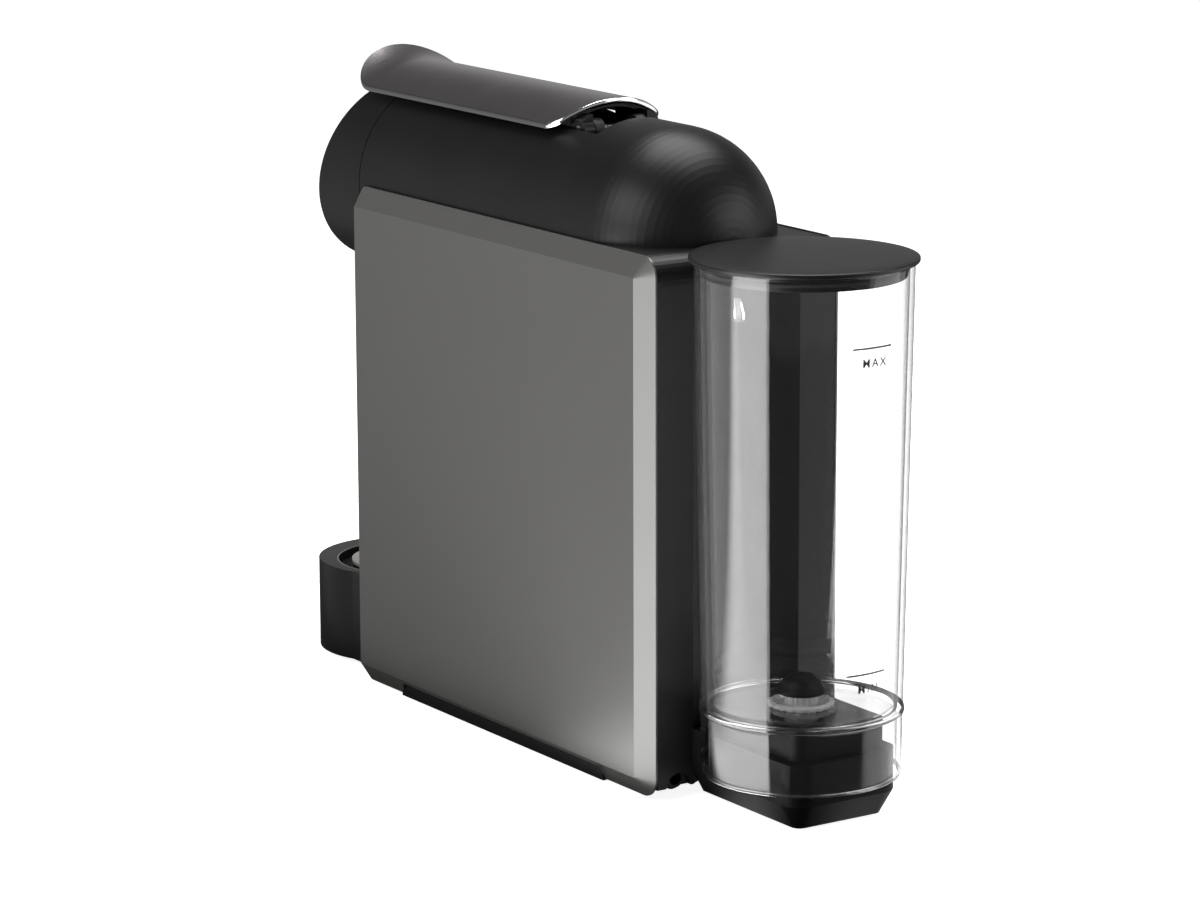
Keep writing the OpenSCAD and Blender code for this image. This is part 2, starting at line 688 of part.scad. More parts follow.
// Front plate that clamps the capsule, and the two bars that the lever drives
bar_h = 13;
bar_end_h = 24;
outlet_r = 3;
outlet_l = 24;
z_outlet = z_axis - 16;
module capsule_carriage() color([0.16, 0.16, 0.17]) {
    difference() {
        union() {
            bar_y(chamber_r, y_plate, y_plate + plate_t, 0, z_axis);
            both_sides() {
                block(chamber_r - 8, bar_in + bar_t, y_plate, y_plate + plate_t,
                    z_axis + 6, z_drive + 4);
                block(bar_in, bar_in + bar_t, y_plate, y_drive + 8,
                    z_drive - bar_h + 4, z_drive + 4);
                block(bar_in, bar_in + bar_t, y_drive - 8, y_drive + 8,
                    z_drive + 6 - bar_end_h, z_drive + 6);
            }
            bar_y(outlet_r + 2, y_plate - outlet_l, y_plate + 1, 0, z_outlet);
        }
        // seat for the capsule's rim
        bar_y(capsule_r + 1.5, y_plate + plate_t - 2, y_plate + plate_t + 1, 0, z_axis);
        // coffee outlet
        bar_y(6, y_plate + 4, y_plate + plate_t, 0, z_axis);
        bar_z(outlet_r, z_outlet, z_axis, 0, y_plate + 7);
        bar_y(outlet_r, y_plate - outlet_l - 1, y_plate + 7, 0, z_outlet);
        // slots for the drive pins
        both_sides() hull() {
            bar_x(drive_pin_r + pin_slot_play, bar_in - 1, bar_in + bar_t + 1, y_drive, z_drive + 0.4);
            bar_x(drive_pin_r + pin_slot_play, bar_in - 1, bar_in + bar_t + 1, y_drive,
                z_hinge - drive_arm - 0.4);
        }
    }
}

// Fixed chamber that the capsule is pushed into
module brew_chamber() color([0.55, 0.55, 0.57]) {
    difference() {
        bar_y(chamber_r, y_chamber, y_chamber + chamber_l, 0, z_axis);
        bar_y(capsule_r, y_chamber - 1, y_chamber + chamber_l - 6, 0, z_axis);
        bar_y(2.5, y_chamber, y_chamber + chamber_l + 1, 0, z_axis);
        bar_y(capsule_r + 3, y_chamber - 1, y_chamber + 2.5, 0, z_axis);
    }
    // hose spigot
    difference() {
        bar_y(4, y_chamber + chamber_l - 1, y_chamber + chamber_l + 9, 0, z_axis);
        bar_y(2.5, y_chamber + chamber_l - 2, y_chamber + chamber_l + 10, 0, z_axis);
    }
}

module brew_seal() color([0.6, 0.2, 0.1])
    difference() {
        bar_y(capsule_r + 3 - 0.05, y_chamber - 0.6, y_chamber + 2.4, 0, z_axis);
        bar_y(capsule_r + 0.2, y_chamber - 2, y_chamber + 3, 0, z_axis);
    }

needles = 3;
module piercing_plate() color([0.75, 0.76, 0.78]) {
    y_back = y_chamber + chamber_l - 6;
    difference() {
        bar_y(capsule_r - 0.3, y_back - 2, y_back, 0, z_axis);
        bar_y(2.5, y_back - 3, y_back + 1, 0, z_axis);
    }
    for (k = [0:needles - 1]) rotate_about_head(360 * k / needles)
        translate([0, y_back - 1.5, z_axis + 9]) rotate([90, 0, 0])
            cylinder(r1 = 1.6, r2 = 0.4, h = 6, $fn = 24);
}
module rotate_about_head(a) {
    translate([0, 0, z_axis]) rotate([0, a, 0]) translate([0, 0, -z_axis]) children();
}

// Frame under the head: a tray with saddles for the chamber
frame_half = 34;
module brew_frame() color([0.2, 0.2, 0.21]) {
    y0 = y_chamber;
    y1 = y_well_rear + 14;
    difference() {
        union() {
            block(-frame_half, frame_half, y0, y1, frame_z, frame_z + frame_t);
            both_sides() block(frame_half - 3, frame_half, y0, y1, frame_z, frame_z + 9);
            for (y = [y_chamber + 2, y_chamber + chamber_l - 8])
                block(-20, 20, y, y + 6, frame_z + frame_t - 1, z_axis - 8);
            // tongue that rests on the bulkhead
            block(-frame_half, frame_half, y_bulk - 4, y_bulk + 10, frame_z - 3, frame_z + 1);
        }
        bar_y(chamber_r + 0.05, y0 - 1, y_chamber + chamber_l + 1, 0, z_axis);
        for (s = [-1, 1]) bar_z(1.6, frame_z - 9, frame_z + 9, s * 4, y_hinge + 12);
        block(-12, 4, boiler_y - 8, boiler_y + 8, frame_z - 9, frame_z + 9);
        for (s = [-1, 1]) bar_z(1.55, frame_z - 9, frame_z + 9, s * 26, y_bulk + 7);
    }
}

// Guide that drops the used capsule into the bin
chute_half = 25;
chute_y0 = y_plate - stroke + plate_t + 1;
chute_y1 = y_chamber - 1.2;
chute_t = 1.6;
module capsule_chute() color([0.14, 0.14, 0.15]) {
    z0 = bay_top + 2;
    z1 = frame_z - 3;
    difference() {
        block(-chute_half, chute_half, chute_y0, chute_y1, z0, z1);
        block(-chute_half + chute_t, chute_half - chute_t, chute_y0 + chute_t, chute_y1 - chute_t,
            z0 - 1, z1 + 1);
    }
    // arms to the bulkhead
    both_sides() block(chute_half - 3, chute_half, chute_y1 - 1, y_bulk, z0 + 6, z0 + 16);
}

// Wall behind the bin bay, with the shelf for the boiler
module bulkhead() color([0.13, 0.13, 0.14]) {
    difference() {
        union() {
            block(-core_half + cover_wall + slack, core_half - cover_wall - slack, y_bulk,
                y_bulk + bulk_t, bay_z, frame_z - 3);
            block(-core_half + cover_wall + slack, core_half - cover_wall - slack, y_bulk,
                y_rear - 26, shelf_z, shelf_z + shelf_t);
            both_sides() block(19, 33, y_bulk, y_bulk + 12, frame_z - 8, frame_z - 3);
        }
        for (s = [-1, 1]) bar_z(1.7, frame_z - 9, frame_z, s * 26, y_bulk + 7);
        // hoses and wires pass through these
        bar_z(9, shelf_z - 1, shelf_z + shelf_t + 1, 28, y_bulk + 92);
        bar_z(9, shelf_z - 1, shelf_z + shelf_t + 1, 0, y_bulk + 96);
        block(-33, -19, y_bulk + 62, y_bulk + 104, shelf_z - 1, shelf_z + shelf_t + 1);
    }
}

// ---------- water path ----------

boiler_y = y_bulk + 34;
boiler_z = shelf_z + shelf_t;
boiler_h = 66;
module boiler() color([0.62, 0.63, 0.64]) {
    difference() {
        union() {
            bar_z(25, boiler_z, boiler_z + boiler_h, 6, boiler_y);
            for (k = [0:4]) bar_z(27, boiler_z + 8 + k * 12, boiler_z + 12 + k * 12, 6, boiler_y);
            for (s = [-1, 1]) bar_z(4, boiler_z + boiler_h - 1, boiler_z + boiler_h + 8, 6 + s * 12,
                boiler_y);
        }
        for (s = [-1, 1]) bar_z(2.4, boiler_z + boiler_h - 6, boiler_z + boiler_h + 9, 6 + s * 12,
            boiler_y);
    }
}

module boiler_sensor() color([0.82, 0.82, 0.78]) {
    bar_z(4.5, boiler_z + boiler_h, boiler_z + boiler_h + 5, 6, boiler_y + 14);
    bar_z(2, boiler_z + boiler_h + 5, boiler_z + boiler_h + 9, 6, boiler_y + 14);
}

pump_z = 62;
pump_y0 = y_bulk + 14;
pump_l = 88;
pump_x = 8;
module pump() color([0.2, 0.2, 0.24]) {
    difference() {
        union() {
            bar_y(14, pump_y0, pump_y0 + pump_l, pump_x, pump_z);
            block(pump_x - 21, pump_x + 21, pump_y0 + 20, pump_y0 + 62, pump_z - 22, pump_z + 22);
            bar_y(5, pump_y0 + pump_l - 1, pump_y0 + pump_l + 8, pump_x, pump_z);
            bar_z(5, pump_z, pump_z + 24, pump_x, pump_y0 + 9);
        }
        bar_y(2.6, pump_y0 + pump_l - 8, pump_y0 + pump_l + 9, pump_x, pump_z);
        bar_z(2.6, pump_z + 4, pump_z + 25, pump_x, pump_y0 + 9);
    }
}

module pump_mounts() color([0.1, 0.1, 0.1])
    for (y = [pump_y0 + 1, pump_y0 + pump_l - 13])
        difference() {
            block(pump_x - 18, pump_x + 18, y, y + 8, bay_z, pump_z + 8);
            bar_y(14, y - 1, y + 9, pump_x, pump_z);
        }

meter_x = -26;
meter_y = y_bulk + 76;
meter_z = 88;
module flow_meter() color([0.85, 0.85, 0.8]) {
    difference() {
        union() {
            bar_z(13, meter_z, meter_z + 16, meter_x, meter_y);
            bar_x(4, meter_x - 4, meter_x + 20, meter_y - 6, meter_z + 8);
            bar_z(4, meter_z + 15, meter_z + 24, meter_x, meter_y);
            block(meter_x - 4, meter_x + 4, meter_y - 4, meter_y + 4, bay_z, meter_z + 1);
        }
        bar_z(2.4, meter_z + 20, meter_z + 25, meter_x, meter_y);
        bar_x(2.4, meter_x + 16, meter_x + 21, meter_y - 6, meter_z + 8);
    }
}

hose_r = 3.6;
dock_pipe_y = y_cover - 26 - slack;
module suction_hose() color([0.75, 0.75, 0.72])
    tube_along(concat(
        [[0, dock_pipe_y, dock_pipe_z]],
        curve([0, dock_pipe_y - 3, dock_pipe_z], [0, dock_pipe_y - 16, dock_pipe_z],
            [meter_x, meter_y + 28, meter_z + 50], [meter_x, meter_y, meter_z + 36], 16),
        [[meter_x, meter_y, meter_z + 24]]), hose_r);

module pressure_hose() color([0.8, 0.8, 0.78])
    tube_along(concat([[pump_x, pump_y0 + 9, pump_z + 24]],
        curve([pump_x, pump_y0 + 9, pump_z + 30], [pump_x, pump_y0 + 9, pump_z + 54],
            [28, y_bulk + 92, shelf_z - 30], [28, y_bulk + 92, shelf_z + 6], 14),
        curve([28, y_bulk + 92, shelf_z + 20], [28, y_bulk + 92, boiler_z + boiler_h + 14],
            [18, boiler_y, boiler_z + boiler_h + 21], [18, boiler_y, boiler_z + boiler_h + 11], 12),
        [[18, boiler_y, boiler_z + boiler_h + 8]]), hose_r);

module brew_hose() color([0.8, 0.8, 0.78])
    tube_along(concat([[-6, boiler_y, boiler_z + boiler_h + 8]],
        curve([-6, boiler_y, boiler_z + boiler_h + 12], [-4, boiler_y, z_axis - 14],
            [0, y_chamber + chamber_l + 30, z_axis], [0, y_chamber + chamber_l + 12, z_axis], 14),
        [[0, y_chamber + chamber_l + 9, z_axis]]), hose_r - 0.2);

// ---------- electrics ----------

power_x = -core_half + cover_wall + 5;
module power_board() color([0.1, 0.32, 0.2]) {
    block(power_x, power_x + 1.6, y_bulk + 12, y_bulk + 96, shelf_z + shelf_t + 10, frame_z - 14);
    block(power_x + 1.6, power_x + 14, y_bulk + 64, y_bulk + 90, shelf_z + shelf_t + 16,
        shelf_z + shelf_t + 40);
    bar_x(6, power_x + 1.6, power_x + 13, y_bulk + 76, shelf_z + shelf_t + 56);
    block(power_x + 1.6, power_x + 7, y_bulk + 64, y_bulk + 88, shelf_z + shelf_t + 66,
        shelf_z + shelf_t + 76);
}

module board_posts() color([0.85, 0.85, 0.82])
    for (y = [y_bulk + 18, y_bulk + 90]) for (z = [shelf_z + shelf_t + 14, frame_z - 18])
        bar_x(3, -body_w / 2 + panel_wall + slack, power_x, y, z);

module lever_switch() color([0.12, 0.12, 0.13]) {
    block(-6, 0, y_hinge + 7, y_hinge + 17, frame_z + frame_t + 3, frame_z + frame_t + 14);
    block(-5, -1, y_hinge + 9, y_hinge + 15, frame_z + frame_t + 14, frame_z + frame_t + 16);
}

// ---------- cup stand and bin ----------

bin_half = 34;
bin_y0 = y_front + 9;
bin_y1 = y_bulk - 4;
bin_z = 14;
bin_wall = 1.8;

// Round cup stand with the tongue that carries the bin
module stand_plan(r, half, y_back) {
    translate([0, y_stand, 0]) circle(r = r);
    translate([-half, y_stand]) square([2 * half, y_back - y_stand]);
}

tongue_half = 36;
stand_back = y_front + 6;
module cup_stand() color([0.11, 0.11, 0.11]) {
    difference() {
        union() {
            bar_z(stand_r, stand_z, stand_top, 0, y_stand);
            block(-stand_r + 3, stand_r - 3, y_stand + 10, stand_back, stand_z, stand_top);
            block(-tongue_half, tongue_half, stand_back - 1, bin_y1 + 2, bay_z + slack, bin_z - slack);
        }
        // round well, narrow at the rim and wide below
        bar_z(stand_open_r, stand_top - 6, stand_top + 1, 0, y_stand + stand_open_back);
        bar_z(stand_open_r - 2, stand_z + stand_wall, stand_top, 0, y_stand + stand_open_back);
        // drip space under the rim
        bar_z(stand_r - stand_wall, stand_z + stand_wall, grid_z - 2, 0, y_stand);
        block(-stand_r + 3 + stand_wall, stand_r - 3 - stand_wall, y_stand, y_front - 2,
            stand_z + stand_wall, grid_z - 2);
        // room for the floor tub and the front feet
        block(-core_half, core_half, y_front + 1, stand_back + 1, 0, bay_z + slack);
        // the front cover's edge of the bay
        block(-core_half - 1, -bay_half + slack, y_front + 0.4, stand_back + 1, 0, stand_top + 1);
        block(bay_half - slack, core_half + 1, y_front + 0.4, stand_back + 1, 0, stand_top + 1);
    }
}

grid_z = stand_top - 6;
grid_t = 2;
grid_fit = 0.4;
module drip_grid() color([0.08, 0.08, 0.08]) {
    y0 = y_stand + stand_open_back;
    difference() {
        union() {
            bar_z(stand_open_r - grid_fit, grid_z, grid_z + grid_t, 0, y0);
            // raised seat under the cup ring
            difference() {
                bar_z(cup_ring_r - 0.6, grid_z + grid_t - 0.5, stand_top - 1.4, 0, y0);
                bar_z(cup_ring_r - cup_ring_w + 0.6, grid_z, stand_top, 0, y0);
            }
        }
        for (k = [0:3]) for (s = [-1, 1])
            block(-16 + abs(k - 1.5) * 4, 16 - abs(k - 1.5) * 4, y0 + s * (2.4 + k * 4.8) - 1.1,
                y0 + s * (2.4 + k * 4.8) + 1.1, grid_z - 1, grid_z + grid_t + 1);
        for (a = [0:30:330]) translate([0, y0, grid_z - 1]) rotate([0, 0, a])
            translate([30, 0, 0]) cylinder(r = 1.3, h = grid_t + 2, $fn = 24);
    }
}

module cup_ring() color([0.55, 0.53, 0.5]) {
    y0 = y_stand + stand_open_back;
    difference() {
        bar_z(cup_ring_r, stand_top - 1.4, stand_top, 0, y0);
        bar_z(cup_ring_r - cup_ring_w, stand_top - 3, stand_top + 1, 0, y0);
    }
}

module capsule_bin() color([0.12, 0.12, 0.13]) {
    difference() {
        translate([0, 0, bin_z]) linear_extrude(height = bin_h)
            polygon(round_box(-bin_half, bin_half, bin_y0, bin_y1, 6));
        translate([0, 0, bin_z + bin_wall]) linear_extrude(height = bin_h)
            polygon(round_box(-bin_half + bin_wall, bin_half - bin_wall, bin_y0 + bin_wall,
                bin_y1 - bin_wall, 4.2));
    }
    // face that closes the bay
    difference() {
        block(-bay_half + 1, bay_half - 1, y_front + 2, y_front + 4.5, stand_top + 1.5, bay_top - 1);
        bar_y(9, y_front + 1, y_front + 3.8, 0, bay_top - 16);
    }
    both_sides() block(bin_half - 12, bin_half - 6, y_front + 4, bin_y0 + 1, bin_z + 50, bin_z + 90);
}

// ---------- tank ----------

bead = 0.7;
valve_hole_r = valve_neck_r - 0.7;
seat_clear = 0.2;
skirt_clear = 0.6;
module water_tank() color([0.85, 0.9, 0.92, 0.35])
    translate([0, y_tank, 0]) rotate_extrude() polygon([
        [tank_r_floor - 0.4, skirt_z], [tank_r_floor, z_floor - 1.6],
        [tank_r_floor + bead, z_floor - 1.4], [tank_r_floor + bead, z_floor],
        [tank_r_floor + 0.1, z_floor + 0.3], [tank_r_top, z_rim],
        [tank_r_top - tank_wall, z_rim], [tank_r_floor - tank_wall, z_floor + 0.3],
        [tank_r_floor - tank_wall - 3, z_floor + 0.3], [tank_r_floor - tank_wall - 4, z_floor],
        [valve_hole_r, z_floor], [valve_hole_r, z_floor - tank_floor_t],
        [tank_r_floor - tank_wall - 0.3, z_floor - tank_floor_t],
        [tank_r_floor - tank_wall - 0.4, skirt_z]]);

lid_collar_h = 6;
lid_crown = 0.9;
collar_r = tank_r_top - tank_wall - 0.9;
module tank_lid() color([0.07, 0.07, 0.07])
    translate([0, y_tank, z_rim]) rotate_extrude() polygon(concat(
        [[0, 0.15], [collar_r - 2, 0.15], [collar_r - 2, -lid_collar_h], [collar_r, -lid_collar_h],
            [collar_r, 0.15], [lid_r - 0.6, 0.15], [lid_r, 0.7]],
        arc(lid_r - 0.8, lid_t - 0.8, 0.8, 0, 90, 5), [[0, lid_t + lid_crown]]));

module lid_seal() color([0.5, 0.5, 0.5])
    translate([0, y_tank, z_rim - lid_collar_h + 2]) rotate_extrude() polygon([
        [collar_r, 0], [collar_r + 0.55, 0.5], [collar_r + 0.55, 1.5], [collar_r, 2]]);

// Outlet valve in the tank's floor
collar_out = 15;
neck_top = z_floor + 5.4;
spigot_z = z_floor - 12;
plunger_clear = 0.3;
module valve_body() color([0.85, 0.88, 0.88, 0.5])
    translate([0, y_tank, 0]) rotate_extrude() polygon([
        [plunger_r + plunger_clear, spigot_z], [valve_hole_r - 0.4, spigot_z],
        [valve_hole_r - 0.05, z_floor - tank_floor_t], [valve_hole_r - 0.05, z_floor],
        [collar_out, z_floor], [collar_out, z_floor + 1.6], [collar_out - 2.5, z_floor + 2.2],
        [collar_out - 4.5, z_floor + 1], [valve_neck_r, z_floor + 1], [valve_neck_r, neck_top],
        [valve_neck_r - 1.4, neck_top], [valve_neck_r - 1.4, z_floor + 1],
        [plunger_r + plunger_clear, z_floor - 0.5]]);

cap_h = 8.6;
module valve_cap() color([0.05, 0.05, 0.05])
    translate([0, y_tank, neck_top]) rotate_extrude() polygon([
        [0, cap_h - 2], [valve_neck_r - 2, cap_h - 2], [valve_neck_r - 2, 0],
        [valve_cap_r, 0], [valve_cap_r, 1.6], [valve_cap_r - 1.6, 3.4], [valve_cap_r - 2.6, 6],
        [valve_cap_r - 5, cap_h - 0.7], [0, cap_h]]);

plunger_travel = 2.5;
module valve_plunger() color([0.8, 0.8, 0.78])
    translate([0, y_tank, 0]) {
        bar_z(plunger_r, z_floor - 8, z_floor + 4);
        bar_z(plunger_r + 1.3, z_floor + 2.7, z_floor + 4.2);
    }

module valve_spring() color([0.7, 0.7, 0.7]) {
    turns = 3;
    r = plunger_r + 0.9;
    z0 = z_floor + 4.6;
    h = cap_h - 1.9;
    tube_along([for (i = [0:turns * 12]) [r * cos(i * 30), y_tank + r * sin(i * 30),
        z0 + 0.4 + (h - 1.6) * i / (turns * 12)]], 0.35, 6);
}

// ---------- dock ----------

dock_top = z_floor - tank_floor_t - seat_clear;
dock_bore_r = valve_hole_r + 1.6;
dock_back = y_tank + dock_reach;
dock_pipe_z = skirt_z - 4;
pipe_r = 2.3;
y_dock_wall = y_tank - recess_r;
module dock_step(half, back, r, z0, z1) {
    translate([0, 0, z0]) linear_extrude(height = z1 - z0)
        polygon(round_end(half, y_cover - 4, back, r));
}

module tank_dock() color([0.07, 0.07, 0.07]) {
    difference() {
        union() {
            intersection() {
                dock_step(dock_half_w, dock_back, dock_corner_r, dock_z, dock_step_z);
                block(-60, 60, y_cover + slack, dock_back + 9, 0, dock_step_z);
            }
            intersection() {
                dock_step(dock_half_w - dock_inset, dock_back - dock_inset - 0.4,
                    dock_corner_r - dock_inset, dock_step_z, dock_top);
                bar_z(tank_r_floor - tank_wall - 1.4, dock_step_z - 1, dock_top, 0, y_tank);
            }
            // foot that tapers to the flat underside
            intersection() {
                hull() {
                    translate([0, 0, dock_z - 0.1]) linear_extrude(height = 0.1)
                        polygon(round_end(dock_half_w, y_cover, dock_back, dock_corner_r));
                    translate([0, 0, foot_z]) linear_extrude(height = 0.1)
                        polygon(round_end(dock_half_w - foot_inset, y_cover, dock_back - foot_inset,
                            dock_corner_r - foot_inset));
                }
                block(-60, 60, y_cover + slack, dock_back + 9, 0, dock_z);
            }
        }
        // groove that the tank's skirt drops into
        difference() {
            bar_z(tank_r_floor + bead + skirt_clear, skirt_z - skirt_clear, z_floor, 0, y_tank);
            bar_z(tank_r_floor - tank_wall - 0.4 - skirt_clear, 0, z_floor, 0, y_tank);
        }
        // socket for the valve's spigot
        bar_z(dock_bore_r, spigot_z - 3, dock_top + 1, 0, y_tank);
        // water way to the body
        bar_y(pipe_r + pin_clear, y_cover - 5, y_tank, 0, dock_pipe_z);
        bar_z(pipe_r, dock_pipe_z, spigot_z, 0, y_tank);
    }
}

module dock_seal() color([0.1, 0.1, 0.1])
    translate([0, y_tank, spigot_z + 2]) difference() {
        cylinder(r = dock_bore_r, h = 3);
        translate([0, 0, -1]) cylinder(r = valve_hole_r + 0.1, h = 5);
    }

module dock_nipple() color([0.75, 0.75, 0.75])
    difference() {
        union() {
            bar_z(plunger_r - 0.4, spigot_z - 3, z_floor - 8 - 0.05, 0, y_tank);
            bar_z(plunger_r + 1.6, spigot_z - 3, spigot_z - 1.2, 0, y_tank);
        }
        bar_z(1, spigot_z - 4, z_floor - 10, 0, y_tank);
        bar_y(0.8, y_tank - 5, y_tank + 5, 0, z_floor - 10);
    }

// Pipe that carries the water from the dock into the body
module feed_pipe() color([0.75, 0.75, 0.75])
    difference() {
        bar_y(pipe_r, y_cover - 26, y_tank - 3, 0, dock_pipe_z);
        bar_y(1.4, y_cover - 27, y_tank - 2, 0, dock_pipe_z);
    }

// Strain-relief gland for a mains cord, behind the low arch
module cord_gland() color([0.05, 0.05, 0.05])
    difference() {
        union() {
            bar_y(gland_r, y_cover - 14, y_cover - cover_wall - slack, arch_x, gland_z);
            bar_y(gland_flange_r, y_gland_wall - 2, y_gland_wall, arch_x, gland_z);
        }
        bar_y(gland_bore_r, y_cover - 15, y_cover, arch_x, gland_z);
    }

// ---------- fasteners ----------

module panel_screws() color([0.7, 0.7, 0.7])
    both_sides() for (b = panel_bosses)
        translate([core_half - cover_wall - 1.8, b[0], b[1]]) rotate([0, 90, 0]) screw(1.5, 6);

// Two under the brew frame's tongue and two under the hinge bracket
module frame_screws() color([0.7, 0.7, 0.7]) {
    for (s = [-1, 1]) translate([s * 26, y_bulk + 7, frame_z - 8 - 1.8]) screw(1.5, 8);
    for (s = [-1, 1]) translate([s * 4, y_hinge + 12, frame_z - 1.8]) screw(1.5, 6);
}

side_panel_right();
side_panel_left();
base_tub();
base_rails();
rubber_feet();
rear_cover();
top_deck();
front_cover();
head_shell();
head_cap();
spout();
lever_plate();
lever_arm();
lever_pin();
hinge_bracket();
capsule_carriage();
brew_chamber();
brew_seal();
piercing_plate();
brew_frame();
capsule_chute();
bulkhead();
boiler();
boiler_sensor();
pump();
pump_mounts();
flow_meter();
suction_hose();
pressure_hose();
brew_hose();
power_board();
board_posts();
button_board();
button_switches();
button_small();
button_large();
lever_switch();
capsule_bin();
cup_stand();
drip_grid();
cup_ring();
water_tank();
tank_lid();
lid_seal();
valve_body();
valve_cap();
valve_plunger();
valve_spring();
tank_dock();
dock_seal();
dock_nipple();
feed_pipe();
cord_gland();
panel_screws();
frame_screws();
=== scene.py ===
# %% [markdown]
# A slim pod coffee machine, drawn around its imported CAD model. The CAD part says where
# everything is and how it moves; this script gives every piece its finish and draws the
# visible shells again as fine surfaces. We start by loading the frame and keeping its box.

# %% Load the frame
import json
import math

import bmesh
import bpy
import numpy as np
from mathutils import Matrix, Vector


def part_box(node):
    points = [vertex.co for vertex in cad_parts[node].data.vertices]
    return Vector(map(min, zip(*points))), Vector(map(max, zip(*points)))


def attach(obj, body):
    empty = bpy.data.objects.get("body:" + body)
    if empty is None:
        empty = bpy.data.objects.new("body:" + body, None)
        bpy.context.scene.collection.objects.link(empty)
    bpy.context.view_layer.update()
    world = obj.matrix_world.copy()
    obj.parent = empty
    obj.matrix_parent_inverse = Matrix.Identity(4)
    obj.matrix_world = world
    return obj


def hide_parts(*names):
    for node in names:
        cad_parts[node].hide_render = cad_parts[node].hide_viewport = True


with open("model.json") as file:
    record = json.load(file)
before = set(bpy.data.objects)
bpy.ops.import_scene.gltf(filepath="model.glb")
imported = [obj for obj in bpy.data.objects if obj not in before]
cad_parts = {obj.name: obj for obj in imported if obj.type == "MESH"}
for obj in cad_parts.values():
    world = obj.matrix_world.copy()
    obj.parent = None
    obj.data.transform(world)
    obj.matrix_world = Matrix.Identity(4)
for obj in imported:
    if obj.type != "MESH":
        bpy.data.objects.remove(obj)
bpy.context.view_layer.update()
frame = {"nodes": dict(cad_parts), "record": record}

MM = 0.001
nodes = frame["nodes"]

# %% [markdown]
# The camera comes first, because everything else is judged through it. It stands behind
# and to one side of the machine, a little above it, and its long lens keeps the edges
# nearly parallel. A camera looks along its own -Z, so its matrix is built from three
# axes: right, up and back.

# %% Camera
VIEW_TURN = math.radians(33.56)
VIEW_DIP = math.radians(12.27)
VIEW_ROLL = math.radians(-0.19)
VIEW_DISTANCE = 2.0173
VIEW_CENTRE = Vector((0, 0.0056, 0.13154))

forward = Vector((-math.sin(VIEW_TURN) * math.cos(VIEW_DIP),
                  -math.cos(VIEW_TURN) * math.cos(VIEW_DIP), -math.sin(VIEW_DIP)))
level = Vector((-math.cos(VIEW_TURN), math.sin(VIEW_TURN), 0))
above = level.cross(forward)
right = level * math.cos(VIEW_ROLL) + above * math.sin(VIEW_ROLL)
up = above * math.cos(VIEW_ROLL) - level * math.sin(VIEW_ROLL)

camera_data = bpy.data.cameras.new("camera")
camera_data.lens = 131.9
camera_data.sensor_width = 36
camera_data.clip_start, camera_data.clip_end = 0.05, 50
camera = bpy.data.objects.new("camera", camera_data)
turn = Matrix((right, up, -forward)).transposed().to_4x4()
camera.matrix_world = Matrix.Translation(VIEW_CENTRE - forward * VIEW_DISTANCE) @ turn
bpy.context.scene.collection.objects.link(camera)
bpy.context.scene.camera = camera

# %% [markdown]
# Shader maths reads best as plain sums. This small class holds a socket and turns +, -,
# * and / into Math nodes, and its node() method makes any other node: settings first,
# then values or links for the sockets. Only things that change over a surface go
# through it; a constant is set on the shader itself.

# %% Shader helper
class Wire:
    """An output socket of a node tree that can be used in sums."""

    def __init__(self, tree, socket):
        self.tree, self.socket = tree, socket

    def node(self, kind, settings=None, output=0, **inputs):
        """Adds a node of this kind; an input is i and its number, or its name with _
        for each space."""
        made = self.tree.nodes.new("ShaderNode" + kind)
        for key, value in (settings or {}).items():
            if key == "stops":
                while len(made.color_ramp.elements) < len(value):
                    made.color_ramp.elements.new(0.5)
                for element, (place, level) in zip(made.color_ramp.elements, value):
                    element.position = place
                    element.color = (level, level, level, 1)
            else:
                setattr(made, key, value)
        for key, value in inputs.items():
            by_number = key[0] == "i" and key[1:].isdigit()
            socket = made.inputs[int(key[1:]) if by_number else key.replace("_", " ")]
            if isinstance(value, Wire):
                self.tree.links.new(value.socket, socket)
            else:
                socket.default_value = value
        return Wire(self.tree, made.outputs[output])

    def maths(self, operation, a, b):
        return self.node("Math", {"operation": operation}, i0=a, i1=b)

    def __add__(self, other): return self.maths("ADD", self, other)
    def __radd__(self, other): return self.maths("ADD", other, self)
    def __sub__(self, other): return self.maths("SUBTRACT", self, other)
    def __rsub__(self, other): return self.maths("SUBTRACT", other, self)
    def __mul__(self, other): return self.maths("MULTIPLY", self, other)
    def __rmul__(self, other): return self.maths("MULTIPLY", other, self)
    def __truediv__(self, other): return self.maths("DIVIDE", self, other)

    def ramp(self, *stops):
        """A grey that follows this value through stops of (place, level)."""
        return self.node("ValToRGB", {"stops": stops}, Fac=self)


def shade(grey, tint=(1, 1, 1)):
    """A linear colour from a grey level and a tint."""
    return (grey * tint[0], grey * tint[1], grey * tint[2], 1)


def new_finish(name, **constants):
    """A material with a Principled shader whose named sockets are set, and its start wire."""
    material = bpy.data.materials.new(name)
    material.use_nodes = True
    tree = material.node_tree
    shader = tree.nodes["Principled BSDF"]
    for key, value in constants.items():
        shader.inputs[key.replace("_", " ")].default_value = value
    place = tree.nodes.new("ShaderNodeTexCoord")
    return material, shader, Wire(tree, place.outputs["Object"])


def plug(shader, name, wire):
    wire.tree.links.new(wire.socket, shader.inputs[name])

# %% [markdown]
# Most of the machine is moulded or lacquered, so one recipe serves many finishes: a fine
# grain of noise moves the roughness and a shallow bump, and a larger, softer noise moves
# the colour by a few per cent, as handling and moulding do.

# %% Finish recipe
ROUGHNESS_SPREAD = 0.06
CLOUD_SCALE = 38.0


